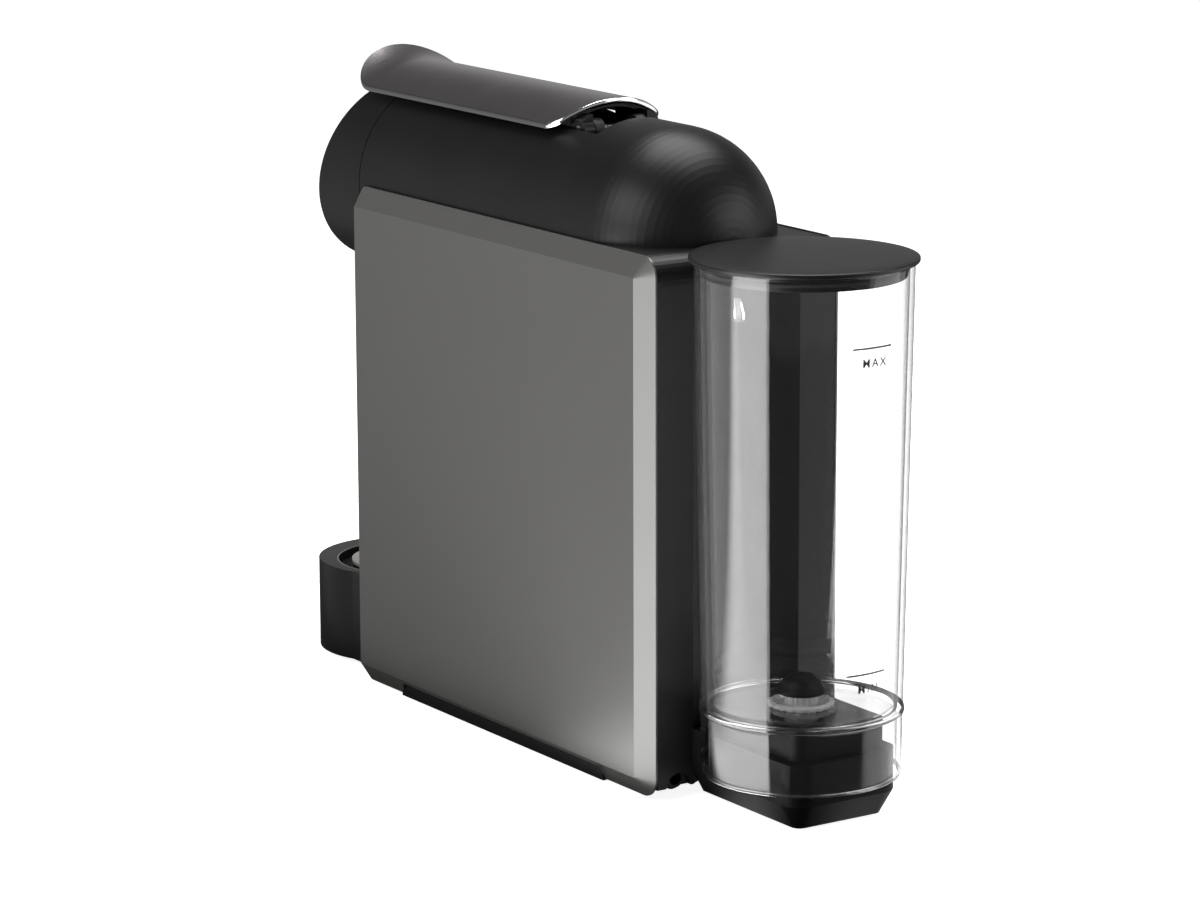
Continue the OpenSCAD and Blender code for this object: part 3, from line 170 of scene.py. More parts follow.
def grained(name, low, high, roughness, grain=2600, depth=0.0, **constants):
    """Colour wanders from low to high over centimetres; roughness and a bump of this
    depth in millimetres follow a fine grain, whose number is its waves in a metre."""
    material, shader, start = new_finish(name, **constants)
    cloud = start.node("TexNoise", Vector=start, Scale=CLOUD_SCALE, Detail=3.0, Roughness=0.55)
    fine = start.node("TexNoise", Vector=start, Scale=float(grain), Detail=2.0, Roughness=0.5)
    colour = start.node("Mix", {"data_type": "RGBA"}, output=2, i0=cloud, i6=low, i7=high)
    plug(shader, "Base Color", colour)
    plug(shader, "Roughness", (fine - 0.5) * ROUGHNESS_SPREAD + (cloud - 0.5) * ROUGHNESS_SPREAD
         + roughness)
    if depth:
        bump = start.node("Bump", Strength=0.35, Distance=depth * MM, Height=fine)
        plug(shader, "Normal", bump)
    return material


# %% [markdown]
# The panels are a satin grey lacquer with a slightly warm tint. The head and core are
# dark moulded plastic. The lever is a metal-look plate whose edge metal comes in two copies:
# a bright one on the rear part as a painted highlight, and a darker one elsewhere as painted
# shade.
# The pieces inside get the plain colours of their kind: rubber, cast alloy, steel, boards.

# %% Finishes
GREY_TINT = (1.0, 0.985, 0.925)
LEVER_TINT = (1.0, 0.94, 0.97)
RING_TINT = (1, 0.97, 0.92)
RIM_TINT = (1, 0.97, 0.95)
WHITE_TINT = (1, 1, 0.94)
HOSE_TINT = (1, 1, 0.96)
finishes = {
    "panel_grey": grained("panel_grey", shade(0.052, GREY_TINT), shade(0.057, GREY_TINT),
                          0.30, grain=3200, depth=0.015, Specular_IOR_Level=0.95),
    "core_black": grained("core_black", shade(0.0035), shade(0.006), 0.38, depth=0.02,
                          Specular_IOR_Level=0.35),
    "head_black": grained("head_black", shade(0.004), shade(0.0065), 0.40, grain=3000,
                          depth=0.03, Specular_IOR_Level=0.27),
    "lever_grey": grained("lever_grey", shade(0.38, LEVER_TINT), shade(0.42, LEVER_TINT), 0.22,
                          Metallic=0.95),
    "ring_grey": grained("ring_grey", shade(0.30, RING_TINT), shade(0.36, RING_TINT), 0.45,
                         depth=0.02),
    "steel": grained("steel", shade(0.5), shade(0.6), 0.25, Metallic=1.0),
    "alloy": grained("alloy", shade(0.36), shade(0.46), 0.45, grain=900, depth=0.08,
                     Metallic=0.9),
    "inner_black": grained("inner_black", shade(0.006), shade(0.012), 0.55, depth=0.04),
    "inner_white": grained("inner_white", shade(0.6, WHITE_TINT), shade(0.68, WHITE_TINT),
                           0.45),
    "seal_rubber": grained("seal_rubber", shade(0.008), shade(0.014), 0.75, grain=1800,
                           depth=0.05),
    "board_green": grained("board_green", (0.01, 0.09, 0.04, 1), (0.015, 0.12, 0.055, 1),
                           0.35),
    "hose_clear": grained("hose_clear", shade(0.5, HOSE_TINT), shade(0.58, HOSE_TINT), 0.35),
    # Two copies of one edge metal for the lever's rim: the darker one is painted shade, the
    # bright one a painted highlight on the rear edge.
    "lever_rim_shaded": grained("lever_rim_shaded", shade(0.26), shade(0.30), 0.2, Metallic=1.0),
    "lever_rim_lit": grained("lever_rim_lit", shade(0.84), shade(0.90), 0.12, Metallic=1.0),
    "rim_grey": grained("rim_grey", shade(0.030, RIM_TINT), shade(0.036, RIM_TINT), 0.40,
                        depth=0.03),
    "cap_black": grained("cap_black", shade(0.003), shade(0.005), 0.5,
                         Specular_IOR_Level=0.12),
    # The valve body's pale, half opaque colour is a painted highlight: it stands in for the
    # bright edges of the clear neck and collar.
    "valve_pale_highlight": grained("valve_pale_highlight", shade(0.62), shade(0.78), 0.12, Alpha=0.6,
                          Specular_IOR_Level=0.8),
    "print_grey": grained("print_grey", shade(0.02), shade(0.03), 0.6),
}

# %% [markdown]
# Clear polymer comes in two kinds. The tank's wide walls are thin, so they are shells that
# mirror at their surface and let the rest straight through. Small thick mouldings bend
# light instead, because that is what gives them their bright edges.

# %% Clear polymer
GRAZING_MIRROR = 0.92


def clear_plastic(name, haze, roughness):
    """A clear thin wall: it mirrors a few per cent face on and nearly all at a grazing angle
    (Schlick's rule, base + (1 - base) * facing to the fifth), and the rest passes through."""
    material, shader, start = new_finish(name, Metallic=1.0)
    facing = start.node("LayerWeight", output=1, Blend=0.5)
    cloud = start.node("TexNoise", Vector=start, Scale=55.0, Detail=2.0)
    plug(shader, "Base Color", cloud.ramp((0.2, 0.90), (0.8, 0.97)))
    plug(shader, "Roughness", cloud * 0.02 + roughness)
    plug(shader, "Alpha", facing.maths("POWER", facing, 5.0) * (GRAZING_MIRROR - haze) + haze)
    return material


def clear_block(name, roughness):
    """Thick clear polymer that bends light, for small mouldings with bright edges."""
    material, shader, start = new_finish(name, IOR=1.46, Transmission_Weight=1.0)
    cloud = start.node("TexNoise", Vector=start, Scale=90.0, Detail=2.0)
    plug(shader, "Base Color", cloud.ramp((0.2, 0.92), (0.8, 0.99)))
    plug(shader, "Roughness", cloud * 0.02 + roughness)
    return material


finishes["clear_block"] = clear_block("clear_block", 0.04)
finishes["tank_clear"] = clear_plastic("tank_clear", 0.04, 0.03)

# %% [markdown]
# The record names a material slot for every CAD node, so each node takes the finish of
# its slot. The dock is the exception: it takes a duller black, as it is half hidden by
# the clear skirt and would look grey with any gloss.

# %% Finishes on the CAD nodes
slot_of = {entry["node"]: entry["material_slot"] for entry in frame["record"]["subparts"]}
for name, obj in nodes.items():
    obj.data.materials.clear()
    kind = "cap_black" if name == "tank_dock" else slot_of[name]
    obj.data.materials.append(finishes[kind])
print("finishes", len(finishes))

# %% [markdown]
# New pieces are surfaces: a grid of points worked out with numpy, joined into quads.
# A closed direction wraps round, and an open end can be closed with one flat face. The
# helper below does that once, so that each piece is only its formula.

# %% From a grid of points to a mesh
SHARP_ANGLE = 32


def show(name, mesh, sharp=SHARP_ANGLE):
    """A mesh in the scene, smooth except where its faces meet at a sharp angle."""
    mesh.update()
    mesh.polygons.foreach_set("use_smooth", np.ones(len(mesh.polygons), bool))
    mesh.set_sharp_from_angle(angle=math.radians(sharp))
    obj = bpy.data.objects.new(name, mesh)
    bpy.context.scene.collection.objects.link(obj)
    return obj


def solid(name, rows, material, ends=True, soften=0.0, angle=30, flip=False):
    """rows[i, j] is ring i's point j in metres; rings are closed and ends are capped flat.
    Edges sharper than angle are rounded by soften millimetres, and flip turns the faces."""
    count, around = rows.shape[:2]
    ring = np.arange(around)
    after = (ring + 1) % around
    faces = []
    for i in range(count - 1):
        a, b = i * around, (i + 1) * around
        faces.append(np.stack([a + ring, a + after, b + after, b + ring], 1))
    quads = np.concatenate(faces)
    if flip:
        quads = quads[:, ::-1]
    faces = quads.tolist()
    if ends:
        first, last = ring[::-1].tolist(), ((count - 1) * around + ring).tolist()
        faces += [first[::-1], last[::-1]] if flip else [first, last]
    mesh = bpy.data.meshes.new(name)
    mesh.from_pydata(rows.reshape(-1, 3).tolist(), [], faces)
    mesh.materials.append(material)
    obj = show(name, mesh, 180 if soften else SHARP_ANGLE)
    if soften:
        bevel = obj.modifiers.new("soft_edges", "BEVEL")
        bevel.width, bevel.segments = soften * MM, 3
        bevel.limit_method, bevel.angle_limit = "ANGLE", math.radians(angle)
        bevel.harden_normals = True
    return obj


def stand_for(obj, body, replaced):
    """The piece rides on its body and stands for this CAD node."""
    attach(obj, body)
    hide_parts(replaced)
    print(obj.name, "faces", len(obj.data.polygons))


def added(obj, body):
    """A piece that CAD doesn't have: it rides on its body."""
    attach(obj, body)


def box_mm(node):
    """A CAD node's two box corners in millimetres."""
    return (np.array(corner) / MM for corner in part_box(node))


def arc(cx, cy, radius, start, stop, count=10):
    """Points of an arc in degrees, ends included."""
    a = np.radians(np.linspace(start, stop, count + 1))
    return np.stack([cx + radius * np.cos(a), cy + radius * np.sin(a)], 1)

# %% [markdown]
# The side panels are what one sees first: a flat lacquered face inside a sloping band
# that is wide at the rear, a little narrower at the top and bottom, and missing at the
# front. Each ring of the surface is the panel's outline at one depth. Matching corners
# share their angles, so the band between two rings is ruled as a folded sheet would be.
# A long notch in the lower band lets the black rail show.

# %% Side panels
panel_low, panel_high = box_mm("side_panel_right")
X_FACE, X_RIM = panel_high[0], panel_low[0]
BAND_DEPTH, BAND_REAR, BAND_TOP, BAND_BOTTOM = 4.0, 11.2, 9.7, 8.0
CORNER_REAR, CORNER_FRONT, PANEL_WALL = 9.0, 4.5, 1.8
rail_low, rail_high = box_mm("base_rails")
NOTCH_FRONT, NOTCH_REAR = rail_low[1] - 0.3, rail_high[1] + 0.3
NOTCH_TOP, NOTCH_SLOPE = rail_high[2] + 0.35, 4.5
FOLD_ROUND = 0.6


def panel_ring(front, rear, low, high, r_front, r_rear):
    """Outline in Y and Z: four arcs, and along the bottom the notch's two ends."""
    y0, y1 = panel_low[1] + front, panel_high[1] - rear
    z0, z1 = panel_low[2] + low, panel_high[2] - high
    ends = [(NOTCH_FRONT - 0.02, z0), (NOTCH_FRONT, z0),
            (NOTCH_REAR, z0), (NOTCH_REAR + 0.02, z0)]
    return np.concatenate([
        arc(y0 + r_front, z0 + r_front, r_front, 180, 270, 8), ends,
        arc(y1 - r_rear, z0 + r_rear, r_rear, 270, 360, 12),
        arc(y1 - r_rear, z1 - r_rear, r_rear, 0, 90, 12),
        arc(y0 + r_front, z1 - r_front, r_front, 90, 180, 8)])


def panel_surface():
    """Rings from the flat face outwards over the band, round the rim and back inside."""
    wall = PANEL_WALL
    outlines = [
        (X_FACE, panel_ring(0.0, BAND_REAR, BAND_BOTTOM, BAND_TOP, FOLD_ROUND, FOLD_ROUND)),
        (X_FACE - BAND_DEPTH, panel_ring(0, 0, 0, 0, CORNER_FRONT, CORNER_REAR)),
        (X_RIM, panel_ring(0, 0, 0, 0, CORNER_FRONT, CORNER_REAR)),
        (X_RIM, panel_ring(wall, wall, wall, wall, CORNER_FRONT - wall, CORNER_REAR - wall)),
        (X_FACE - wall, panel_ring(wall, BAND_REAR + wall / 2, BAND_BOTTOM + wall / 2,
                                   BAND_TOP + wall / 2, FOLD_ROUND, FOLD_ROUND))]
    rows = np.array([np.column_stack([np.full(len(p), x), p]) for x, p in outlines])
    inside = slice(10, 12)  # the two points between the notch's ends
    rise = (NOTCH_TOP - panel_low[2]) / BAND_BOTTOM
    rows[1, inside, 0] = X_FACE - BAND_DEPTH * (1 - rise)
    rows[1:3, inside, 2] = NOTCH_TOP
    rows[3, inside, 2] = NOTCH_TOP + 1.2
    rows[1:4, inside, 1] += NOTCH_SLOPE
    return rows


panel_rows = panel_surface() * MM
for name, side in (("side_panel_right", 1), ("side_panel_left", -1)):
    panel = solid(name + "_shell", panel_rows * (side, 1, 1), finishes["panel_grey"],
                  soften=0.5, angle=12, flip=side < 0)
    stand_for(panel, "body", name)

# %% [markdown]
# The lever is one arched plate. Its section is an arc, its front edge is half an ellipse
# in plan, and towards that edge the crown sweeps up into a lip while the arch flattens.
# The plate's height is a function of x and y, so the same grid gives its upper face, its
# lower face and the edge between them, painted bright on its rear part as a highlight.

# %% Lever plate
lever_low, lever_high = box_mm("lever_plate")
LEVER_HALF = lever_high[0]
Y_LIP, Y_LEVER_REAR = lever_low[1], lever_high[1]
LIP_LENGTH, LIP_RISE, LEVER_BOW, LEVER_ARC, LEVER_THICK = 19.1, 5.0, 9.0, 45.0, 2.6
Z_CROWN = lever_high[2] - LIP_RISE
FLARE, FLATTEN_FROM, FLATTEN_OVER, FLATTEN_SHARE = 26.0, 3, 20, 0.28
EDGE_ROUND, CORNER_CUT, CORNER_FROM = 0.6, 5, 0.86
LIT_RIM_FACING = 0.35


def lever_height(x, y):
    """Crown plus the lip's rise, less the arch's sag, which eases off towards the lip."""
    near = np.clip((Y_LIP + FLARE - y) / FLARE, 0, 1)
    t = np.clip((Y_LIP + FLARE - FLATTEN_FROM - y) / FLATTEN_OVER, 0, 1)
    ease = t * t * (3 - 2 * t)
    sag = LEVER_ARC - np.sqrt(LEVER_ARC ** 2 - x ** 2)
    return Z_CROWN + LIP_RISE * near ** 2 - (1 - FLATTEN_SHARE * ease) * sag


def lever_grid(across=72, along=96):
    """x follows a sine scale across; y runs from the lip's curve to the rear edge's curve,
    in steps that are finer near the lip."""
    u = np.sin(np.linspace(-np.pi / 2, np.pi / 2, across + 1))
    v = np.linspace(0, 1, along + 1)
    v = np.where(v < 0.4, 0.9 * v * v, 0.144 + (v - 0.4) * 0.856 / 0.6)
    front = Y_LIP + LIP_LENGTH - LIP_LENGTH * np.sqrt(np.clip(1 - u * u, 0, 1))
    corner = CORNER_CUT * (np.clip(np.abs(u) - CORNER_FROM, 0, 1) / (1 - CORNER_FROM)) ** 2
    back = Y_LEVER_REAR - LEVER_BOW * u * u - corner
    x = np.broadcast_to((LEVER_HALF - EDGE_ROUND) * u, (along + 1, across + 1))
    y = front + EDGE_ROUND + (back - front - 2 * EDGE_ROUND) * v[:, None]
    return np.stack([x, y, lever_height(x, y)], 2)


def plate(name, top, drop, bulge, materials, steps=6):
    """Upper face, lower face drop below it, and a rim that bulges outwards in half a round.
    The materials are those of the upper face, the lower face, the rim as a darker copy (painted
    shade) and its rear part as a bright copy (painted highlight)."""
    rows, cols = top.shape[:2]
    index = np.arange(rows * cols).reshape(rows, cols)
    quads = np.stack([index[:-1, :-1], index[:-1, 1:], index[1:, 1:], index[1:, :-1]], 2)
    upper = quads.reshape(-1, 4)
    lower = upper[:, ::-1] + rows * cols
    loop = np.concatenate([index[0, :-1], index[:-1, -1], index[-1, :0:-1], index[:0:-1, 0]])
    edge = top.reshape(-1, 3)[loop]
    along = np.roll(edge, -1, 0) - np.roll(edge, 1, 0)
    out = np.stack([along[:, 1], -along[:, 0], np.zeros(len(loop))], 1)
    out /= np.linalg.norm(out, axis=1)[:, None]
    t = np.linspace(0, np.pi, steps + 1)[1:-1]
    rings = [edge + out * bulge * np.sin(a) - [0, 0, drop * (1 - np.cos(a)) / 2] for a in t]
    points = np.concatenate([top.reshape(-1, 3), top.reshape(-1, 3) - [0, 0, drop], *rings])
    chain = [loop] + [2 * rows * cols + i * len(loop) + np.arange(len(loop))
                      for i in range(len(rings))] + [loop + rows * cols]
    strips = [np.stack([np.roll(a, -1), a, b, np.roll(b, -1)], 1)
              for a, b in zip(chain[:-1], chain[1:])]
    strip = np.concatenate(strips)
    mesh = bpy.data.meshes.new(name)
    mesh.from_pydata((points * MM).tolist(), [], np.concatenate([upper, lower, strip]).tolist())
    for material in materials:
        mesh.materials.append(material)
    # Rim faces that face rearwards take the bright copy of the edge metal as a painted
    # highlight; the rest take the darker copy as painted shade.
    rearward = np.tile((out[:, 1] + np.roll(out[:, 1], -1)) / 2 > LIT_RIM_FACING, len(strips))
    kind = np.concatenate([np.zeros(len(upper)), np.ones(len(lower)), 2 + rearward])
    mesh.polygons.foreach_set("material_index", kind.astype(np.int32))
    return show(name, mesh)


LEVER_KINDS = ("lever_grey", "core_black", "lever_rim_shaded", "lever_rim_lit")
lever = plate("lever_plate_skin", lever_grid(), LEVER_THICK, EDGE_ROUND,
              [finishes[kind] for kind in LEVER_KINDS])
stand_for(lever, "lever", "lever_plate")

# %% [markdown]
# The tank and everything round on it are turned shapes: one closed profile of radius and
# height is carried round the tank's upright axis. Corners that a mould would round are
# short arcs. Where a profile touches radius 0, its points there are welded into one.

# %% Turned pieces
tank_low, tank_high = box_mm("water_tank")
Y_TANK = (tank_low[1] + tank_high[1]) / 2
TANK_TOP_R = tank_high[0]


def rounded(points, radius, steps=4):
    """A profile whose inner corners are replaced by short arcs of about this radius."""
    points = np.array(points, float)
    out = [points[0]]
    for before, here, after in zip(points[:-2], points[1:-1], points[2:]):
        a, b = before - here, after - here
        reach = min(radius, 0.45 * np.linalg.norm(a), 0.45 * np.linalg.norm(b))
        start = here + a / np.linalg.norm(a) * reach
        stop = here + b / np.linalg.norm(b) * reach
        t = np.linspace(0, 1, steps + 1)[:, None]
        out.extend((1 - t) ** 2 * start + 2 * t * (1 - t) * here + t ** 2 * stop)
    out.append(points[-1])
    return np.array(out)


def turned(name, profile, material, around=192, wave=0.0, waves=0):
    """The closed profile's (radius, z) points carried round the tank's axis; a wave swells
    the radius by a share, waves times round, for a scalloped rim."""
    a = np.linspace(0, 2 * np.pi, around, endpoint=False)
    radius = profile[:, 0][:, None] * (1 + wave * np.cos(waves * a))
    z = np.broadcast_to(profile[:, 1][:, None], radius.shape)
    rows = np.stack([radius * np.cos(a), Y_TANK + radius * np.sin(a), z], 2)
    count = len(profile)
    ring = np.arange(around)
    i = np.arange(count)[:, None]
    low, high = i * around, ((i + 1) % count) * around
    after = (ring + 1) % around
    quads = np.stack([low + ring, low + after, high + after, high + ring], 2).reshape(-1, 4)
    mesh = bpy.data.meshes.new(name)
    mesh.from_pydata((rows.reshape(-1, 3) * MM).tolist(), [], quads.tolist())
    weld(mesh)
    mesh.materials.append(material)
    return show(name, mesh)


def weld(mesh):
    """Points that share a place, as at a pole, become one, and faces turn outwards."""
    work = bmesh.new()
    work.from_mesh(mesh)
    bmesh.ops.remove_doubles(work, verts=work.verts, dist=1e-7)
    bmesh.ops.dissolve_degenerate(work, edges=work.edges, dist=1e-8)
    bmesh.ops.recalc_face_normals(work, faces=work.faces)
    work.to_mesh(mesh)
    work.free()

# %% [markdown]
# The tank's wall leans outwards towards the top. Its floor sits well above the lower edge,
# so a clear skirt hangs round the dock. A bead runs round at the floor's height. All of
# this is one closed profile, because it is one moulding.

# %% Water tank
Z_SKIRT, Z_RIM = tank_low[2], tank_high[2]
TANK_WALL, TANK_FLOOR_R, SKIRT_HEIGHT, FLOOR_THICK, BEAD = 2.2, 43.9, 29.4, 2.8, 0.7
Z_FLOOR = Z_SKIRT + SKIRT_HEIGHT
VALVE_HOLE = 6.5
inner_r = TANK_FLOOR_R - TANK_WALL
print("tank in mm", round(2 * TANK_TOP_R, 1), "across,", round(Z_RIM - Z_SKIRT, 1), "high")
tank_profile = rounded([
    (inner_r - 0.2, Z_SKIRT), (TANK_FLOOR_R - 0.4, Z_SKIRT), (TANK_FLOOR_R, Z_FLOOR - 1.6),
    (TANK_FLOOR_R + BEAD, Z_FLOOR - 1.3), (TANK_FLOOR_R + BEAD, Z_FLOOR),
    (TANK_FLOOR_R + 0.1, Z_FLOOR + 0.4), (TANK_TOP_R - 0.05, Z_RIM - 6), (TANK_TOP_R, Z_RIM),
    (TANK_TOP_R - TANK_WALL, Z_RIM), (inner_r, Z_FLOOR + 3), (inner_r - 3, Z_FLOOR + 0.3),
    (inner_r - 4, Z_FLOOR), (VALVE_HOLE, Z_FLOOR), (VALVE_HOLE, Z_FLOOR - FLOOR_THICK),
    (inner_r - 0.3, Z_FLOOR - FLOOR_THICK), (inner_r - 0.4, Z_SKIRT)], 0.8)
tank = turned("water_tank_shell", tank_profile[:-1], finishes["tank_clear"])
stand_for(tank, "tank", "water_tank")

# %% [markdown]
# Two level marks are printed on the tank's outside, each a short line with its word
# below. A text object gives the letters, and its points are then bent round the tank:
# distance across becomes an angle, so the print hugs the wall.

# %% Level marks
PRINT_GAP, PRINT_THICK = 0.03, 0.05
CAP_SHARE, LETTER_HALF, LETTER_BOLD = 0.7, 0.02, 0.06


def tank_radius(z):
    """The outside of the wall widens evenly from the floor to the rim."""
    share = (z - Z_FLOOR) / (Z_RIM - Z_FLOOR)
    return TANK_FLOOR_R + (TANK_TOP_R - TANK_FLOOR_R) * share


def wrapped(name, points, faces, z_mark):
    """Flat print in x, y and depth, wrapped on the rear wall with its y as height."""
    x, y, depth = points.T
    z = z_mark + y
    radius = tank_radius(z) + PRINT_GAP + depth
    turn = x / radius
    placed = np.stack([-radius * np.sin(turn), Y_TANK + radius * np.cos(turn), z], 1)
    mesh = bpy.data.meshes.new(name)
    mesh.from_pydata((placed * MM).tolist(), [], faces)
    weld(mesh)
    mesh.materials.append(finishes["print_grey"])
    added(show(name, mesh), "tank")


def level_line(name, z_mark, start, stop, width=0.75, steps=24):
    """A strip from start to stop, as a thin closed bar."""
    x = np.repeat(np.linspace(start, stop, steps + 1), 4)
    y = np.tile([-width / 2, width / 2, width / 2, -width / 2], steps + 1)
    depth = np.tile([0, 0, PRINT_THICK, PRINT_THICK], steps + 1)
    faces = [[4 * i + j, 4 * i + (j + 1) % 4, 4 * i + 4 + (j + 1) % 4, 4 * i + 4 + j]
             for i in range(steps) for j in range(4)]
    faces += [[3, 2, 1, 0], [4 * steps + j for j in range(4)]]
    wrapped(name, np.stack([x, y, depth], 1), faces, z_mark)


def level_word(name, word, z_mark, centre, height=3.6):
    """Block letters of this cap height, centred under the line."""
    data = bpy.data.curves.new(name + "_text", "FONT")
    data.body, data.align_x = word, "CENTER"
    data.size, data.space_character = height / CAP_SHARE, 1.35
    data.extrude, data.offset, data.resolution_u = LETTER_HALF, LETTER_BOLD, 4
    obj = bpy.data.objects.new(name + "_text", data)
    bpy.context.scene.collection.objects.link(obj)
    bpy.context.view_layer.update()
    mesh = obj.evaluated_get(bpy.context.evaluated_depsgraph_get()).to_mesh()
    points = np.array([v.co for v in mesh.vertices]) + [centre, -height / 2, LETTER_HALF]
    faces = [list(p.vertices) for p in mesh.polygons]
    bpy.data.objects.remove(obj)
    wrapped(name, points, faces, z_mark)


LINE_START, LINE_STOP, WORD_DROP, WORD_CENTRE = -8.4, 12.5, 6.3, 2.8
for word, z_line in (("MAX", 211.5), ("MIN", 70.0)):
    level_line("mark_line_" + word.lower(), z_line, LINE_START, LINE_STOP)
    level_word("mark_word_" + word.lower(), word, z_line - WORD_DROP, WORD_CENTRE)

# %% [markdown]
# The lid is a thin turned plate with a collar that plugs into the tank, its upper face
# very slightly crowned and its rim rounded. It would be moulded in one piece.

# %% Lid
LID_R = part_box("tank_lid")[1].x / MM
COLLAR_GAP, LID_T, LID_CROWN = 0.9, 2.6, 0.9
COLLAR_R = TANK_TOP_R - TANK_WALL - COLLAR_GAP
lid_profile = np.concatenate([
    rounded([(0, Z_RIM + 0.15), (COLLAR_R - 2, Z_RIM + 0.15), (COLLAR_R - 2, Z_RIM - 6),
             (COLLAR_R, Z_RIM - 6), (COLLAR_R, Z_RIM + 0.15), (LID_R - 0.8, Z_RIM + 0.15),
             (LID_R, Z_RIM + 0.7), (LID_R, Z_RIM + LID_T - 0.4),
             (LID_R - 1.4, Z_RIM + LID_T - 0.1)], 0.5),
    [(r, Z_RIM + LID_T + LID_CROWN * (1 - (r / LID_R) ** 2)) for r in
     (LID_R - 3, 38, 28, 18, 8, 0)]])
lid = turned("tank_lid_shell", lid_profile, finishes["core_black"])
stand_for(lid, "lid", "tank_lid")

# %% [markdown]
# The valve in the tank's floor has a black cap like a mushroom over a clear neck and a
# collar with a scalloped rim. Neck and collar are drawn pale and half opaque, a painted
# highlight in place of the bright edges of clear plastic. The scallops are a small cosine
# wave in the radius, twenty times round, which gives the fingers a grip when the valve is
# screwed in.

# %% Valve
CAP_LOW, CAP_HIGH = box_mm("valve_cap")
CAP_R, NECK_TOP, CAP_TOP = CAP_HIGH[0], CAP_LOW[2], CAP_HIGH[2]
NECK_R, NECK_WALL, CAP_ROOF, PLUNGER_HOLE = 7.2, 1.4, 2.0, 2.7
CAP_BORE = NECK_R - 2
cap_profile = rounded([
    (0, CAP_TOP - CAP_ROOF), (CAP_BORE, CAP_TOP - CAP_ROOF), (CAP_BORE, NECK_TOP),
    (CAP_R, NECK_TOP), (CAP_R, NECK_TOP + 1.6), (CAP_R - 1.6, NECK_TOP + 3.4),
    (CAP_R - 2.6, NECK_TOP + 6), (CAP_R - 5, CAP_TOP - 0.7), (0, CAP_TOP)], 0.6)
cap = turned("valve_cap_shell", cap_profile, finishes["cap_black"], 96)
stand_for(cap, "tank", "valve_cap")

FLUTE, FLUTES = 0.03, 20
valve_low, valve_high = box_mm("valve_body")
SPIGOT, COLLAR_OUT = valve_low[2], valve_high[0] / (1 + FLUTE)
body_profile = rounded([
    (PLUNGER_HOLE, SPIGOT), (VALVE_HOLE - 0.5, SPIGOT),
    (VALVE_HOLE - 0.15, Z_FLOOR - FLOOR_THICK), (VALVE_HOLE - 0.15, Z_FLOOR + 0.05),
    (COLLAR_OUT - 0.3, Z_FLOOR + 0.05), (COLLAR_OUT, Z_FLOOR + 1.6),
    (COLLAR_OUT - 2.2, Z_FLOOR + 2.2), (COLLAR_OUT - 4.5, Z_FLOOR + 1),
    (NECK_R - 0.1, Z_FLOOR + 1), (NECK_R - 0.2, NECK_TOP), (NECK_R - NECK_WALL, NECK_TOP),
    (NECK_R - NECK_WALL, Z_FLOOR + 1), (PLUNGER_HOLE, Z_FLOOR - 0.5),
    (PLUNGER_HOLE, SPIGOT)], 0.3)
# The pale valve colour is a painted highlight that stands in for the clear neck's bright edges.
valve = turned("valve_body_shell", body_profile[:-1], finishes["valve_pale_highlight"],
               wave=FLUTE, waves=FLUTES)
stand_for(valve, "tank", "valve_body")

# %% [markdown]
# Where the clear wall meets its floor the plastic is thick, and thick plastic catches light
# along its edges. A bead outside, a fillet inside and the skirt's lower edge are drawn as
# solid clear rings, which bend light as the thin wall doesn't.

# %% Thick clear edges of the tank
def clear_ring(name, *points):
    """A closed profile of radius and height carried round the tank's axis."""
    profile = rounded([*points, points[0]], 0.4)[:-1]
    added(turned(name, profile, finishes["clear_block"], 160), "tank")


BEAD_IN, BEAD_OUT = TANK_FLOOR_R - 0.3, TANK_FLOOR_R + BEAD + 0.05
clear_ring("tank_bead", (BEAD_IN, Z_FLOOR - 1.9), (BEAD_OUT, Z_FLOOR - 1.4),
           (BEAD_OUT, Z_FLOOR + 0.1), (BEAD_IN, Z_FLOOR + 0.7))
clear_ring("tank_fillet", (inner_r - 1.6, Z_FLOOR), (inner_r - 0.1, Z_FLOOR),
           (inner_r - 0.05, Z_FLOOR + 1.4), (inner_r - 0.6, Z_FLOOR + 0.5))
clear_ring("tank_skirt_edge", (TANK_FLOOR_R - 0.5, Z_SKIRT - 0.02),
           (TANK_FLOOR_R - 0.3, Z_SKIRT + 1), (inner_r + 0.05, Z_SKIRT + 1),
           (inner_r, Z_SKIRT - 0.02))

# %% [markdown]
# A small clear hook stands on the inside of the wall near the rim. It is a wedge: four
# rectangles from its foot up, whose reach from the wall grows quickly and then dies away.

# %% Hook inside the tank
HOOK_TURN = math.radians(15.6)
HOOK_LOW, HOOK_HIGH, HOOK_HALF, HOOK_REACH = 222.0, 232.0, 2.0, 3.0


def hook_rows():
    """Rectangles from the foot up; the hook's reach from the wall shrinks to nothing."""
    rows = []
    for z, reach in ((HOOK_LOW, HOOK_REACH * 0.8), (HOOK_LOW + 1, HOOK_REACH),
                     (HOOK_LOW + 3, HOOK_REACH), (HOOK_HIGH, 0.4)):
        wall = tank_radius(z) - TANK_WALL + 0.2
        rows.append([(wall, -HOOK_HALF, z), (wall, HOOK_HALF, z),
                     (wall - reach, HOOK_HALF * 0.8, z), (wall - reach, -HOOK_HALF * 0.8, z)])
    rows = np.array(rows)
    c, s = math.cos(HOOK_TURN), math.sin(HOOK_TURN)
    return np.stack([rows[..., 0] * c - rows[..., 1] * s,
                     Y_TANK + rows[..., 0] * s + rows[..., 1] * c, rows[..., 2]], 2) * MM


added(solid("tank_hook", hook_rows(), finishes["clear_block"], soften=0.3), "tank")

# %% [markdown]
# The cup stand's rim carries a thin grey trim with a bright inner edge. Both are flat
# rings between two circles whose centres differ, because the round opening sits a little
# behind the middle of the stand.

